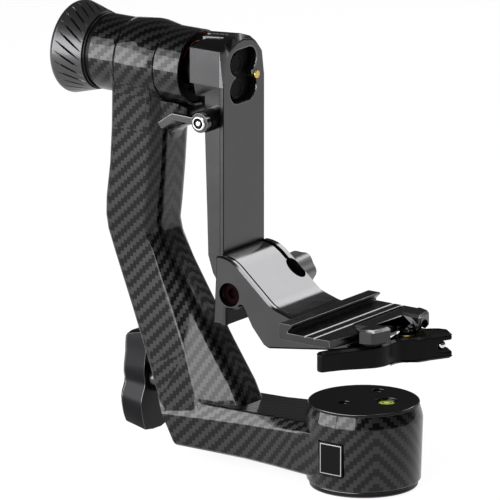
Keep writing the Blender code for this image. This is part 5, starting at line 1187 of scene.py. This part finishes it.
def old_height(x):
    """Height of the foot's top before it is curved: flat, then sloping."""
    if x < SLOPE_START - SLOPE_BLEND:
        return FOOT_TOP
    if x > SLOPE_START + SLOPE_BLEND:
        return FOOT_TOP - (x - SLOPE_START) * SLOPE_DROP
    share = (x - SLOPE_START + SLOPE_BLEND) / (2 * SLOPE_BLEND)
    return FOOT_TOP - SLOPE_BLEND * SLOPE_DROP * share * share


foot = merged_copy("foot_bracket")
slice_piece(foot, (1, 0, 0), TOP_CUTS, faces_up)
moved = 0
for vertex in foot.data.vertices:
    if CURVE[0][0] < vertex.co.x < CURVE[2][0] + 0.0001 and vertex.co.z > 0.1165:
        vertex.co.z += min(0.0, curve_height(vertex.co.x) - old_height(vertex.co.x))
        moved += 1
print("foot points on the curve:", moved)

# %% Slit and lip groove of the foot
SLIT_WALL, WIDER_SLIT_WALL = 0.0172, 0.0161
LIP_GROOVE = (-0.0212, -0.0200)
LIP_GROOVE_DEPTH = 0.0006


def flat_shaded(face):
    """The large side faces and the strip behind the slit, which take no smooth shading."""
    side = abs(face.normal.y) > 0.999 and face.area > 0.00002
    return side or (face.center.y > 0.0178 and face.normal.z > 0.3)


for vertex in foot.data.vertices:
    if abs(vertex.co.y - SLIT_WALL) < 0.00005 and vertex.co.x < -0.0600:
        vertex.co.y = WIDER_SLIT_WALL
slice_piece(foot, (0, 1, 0), LIP_GROOVE)
select_kind("FACE")
for face in foot.data.polygons:
    centre = face.center
    in_groove = LIP_GROOVE[0] < centre.y < LIP_GROOVE[1] and CURVE[0][0] < centre.x < -0.0300
    face.select = in_groove and face.normal.z > 0.35
bpy.ops.object.mode_set(mode="EDIT")
down = {"value": (0, 0, -LIP_GROOVE_DEPTH)}
bpy.ops.mesh.extrude_region_move(TRANSFORM_OT_translate=down)
bpy.ops.object.mode_set(mode="OBJECT")
select_kind("VERT")
round_corners(foot, satin_grey, 0.00042, 3, 24, 32, flat_shaded)
print("foot faces", len(foot.data.polygons))

# %% Painted shade inside the foot
BOLT_X, BOLT_Z, BORE_RADIUS = -0.0754, 0.1025, 0.0072

foot.data.materials.append(black_and_painted_shade)
hidden = 0
# Faces in the bore, the channel, the slit and the lip groove are painted black: painted shade.
for face in foot.data.polygons:
    x, y, z = face.center
    normal = face.normal
    in_bore = math.hypot(x - BOLT_X, z - BOLT_Z) < BORE_RADIUS and -0.0236 < y < -0.0120
    in_channel = -0.0792 < x < -0.0600 and z < 0.0990 and abs(normal.y) < 0.5
    in_slit = 0.0120 < y < 0.0238 and abs(normal.z) < 0.3 and -0.0866 < x < -0.0540
    in_lip_groove = -0.0210 < y < -0.0202 and normal.z > 0.35 and x < -0.0300
    in_painted_shade = in_bore or in_channel or in_slit or in_lip_groove
    face.material_index = 2 if in_painted_shade else 0
    hidden += in_painted_shade
place_piece(foot, satin_grey, "foot", "foot_bracket")
print("dark foot faces", hidden)

# %% [markdown]
# ## The floor and the light
# The photograph has a pure white ground. The floor is white to the camera and in reflections, and a
# part of it stays plain paint, so that it still takes the soft shadow of the head. Its underside is
# clear, so that the head can be looked at from below.

# %% Floor
GLOW = 1.12
GLOW_SHARE = 0.82

bpy.ops.object.select_all(action="DESELECT")
bpy.ops.mesh.primitive_plane_add(size=40, location=(0, 0, -0.0006))
floor = bpy.context.object
floor.name = "studio_floor"
floor_paint = bpy.data.materials.new("studio_floor")
floor_paint.use_nodes = True
floor_tree = floor_paint.node_tree
floor_tree.nodes.clear()
seen_by_camera = add_node(floor_tree, "ShaderNodeLightPath", output=0)
light_path = seen_by_camera.socket.node
seen_by_gloss = Wire(floor_tree, light_path.outputs["Is Glossy Ray"])
seen_through = Wire(floor_tree, light_path.outputs["Is Transmission Ray"])
seen = (seen_by_camera + seen_by_gloss + seen_through).math("MINIMUM", 1.0)
plain = add_node(floor_tree, "ShaderNodeBsdfDiffuse", None, {"Color": (0.6, 0.6, 0.6, 1)})
white = {"Color": (1, 1, 1, 1), "Strength": GLOW}
glow = add_node(floor_tree, "ShaderNodeEmission", None, white)
top_side = add_node(floor_tree, "ShaderNodeMixShader", None, (seen * GLOW_SHARE, plain, glow))
clear = add_node(floor_tree, "ShaderNodeBsdfTransparent")
behind = add_node(floor_tree, "ShaderNodeNewGeometry", output=6)
both_sides = add_node(floor_tree, "ShaderNodeMixShader", None, (behind, top_side, clear))
add_node(floor_tree, "ShaderNodeOutputMaterial", None, (both_sides,), output=None)
floor.data.materials.append(floor_paint)
print("floor ready")

# %% [markdown]
# ## Lamps
# Soft panels stand round the head, as in a product studio. Two to the left, one over the other,
# light the near sides and draw the broad reflections in the lacquer. One faces the drum and the
# column. A small one above the camera lights the plate of the swing arm, one hangs overhead for the
# tops, and one stands behind, which the slope of the foot mirrors. The white world adds a little.

# %% World and lamps
WORLD_STRENGTH = 0.07


def lamp(name, place, aim, size, brightness):
    """A soft rectangular lamp of an even brightness."""
    data = bpy.data.lights.new(name, "AREA")
    data.shape = "RECTANGLE"
    data.size, data.size_y = size
    data.energy = brightness * math.pi * size[0] * size[1]
    made = bpy.data.objects.new(name, data)
    made.location = place
    made.rotation_mode = "QUATERNION"
    made.rotation_quaternion = (Vector(place) - Vector(aim)).to_track_quat("Z", "Y")
    bpy.context.collection.objects.link(made)
    return made


world = bpy.data.worlds.new("studio")
bpy.context.scene.world = world
world.use_nodes = True
background = world.node_tree.nodes["Background"]
background.inputs["Color"].default_value = (1, 1, 1, 1)
background.inputs["Strength"].default_value = WORLD_STRENGTH
lamp("left_panel", (-0.832, -0.896, 0.385), (-0.08, 0, 0.385), (0.945, 0.72), 8.0)
lamp("left_panel_high", (-0.832, -0.896, 0.96), (-0.08, 0, 0.96), (0.945, 0.42), 3.4)
lamp("front_panel", (-0.02, -1.17, 0.49), (-0.08, 0, 0.49), (0.80, 0.90), 7.4)
lamp("camera_panel", (0.30, -0.68, 1.04), (-0.08, 0, 0.12), (0.32, 0.32), 8.0)
lamp("top_panel", (0.32, 0.10, 1.20), (0.0, 0, 0.10), (0.60, 0.60), 4.0)
lamp("rear_panel", (0.12, 1.0, 0.9), (-0.08, 0, 0.12), (0.9, 0.45), 6.5)
bpy.context.scene.view_settings.view_transform = "Standard"
print("studio ready")
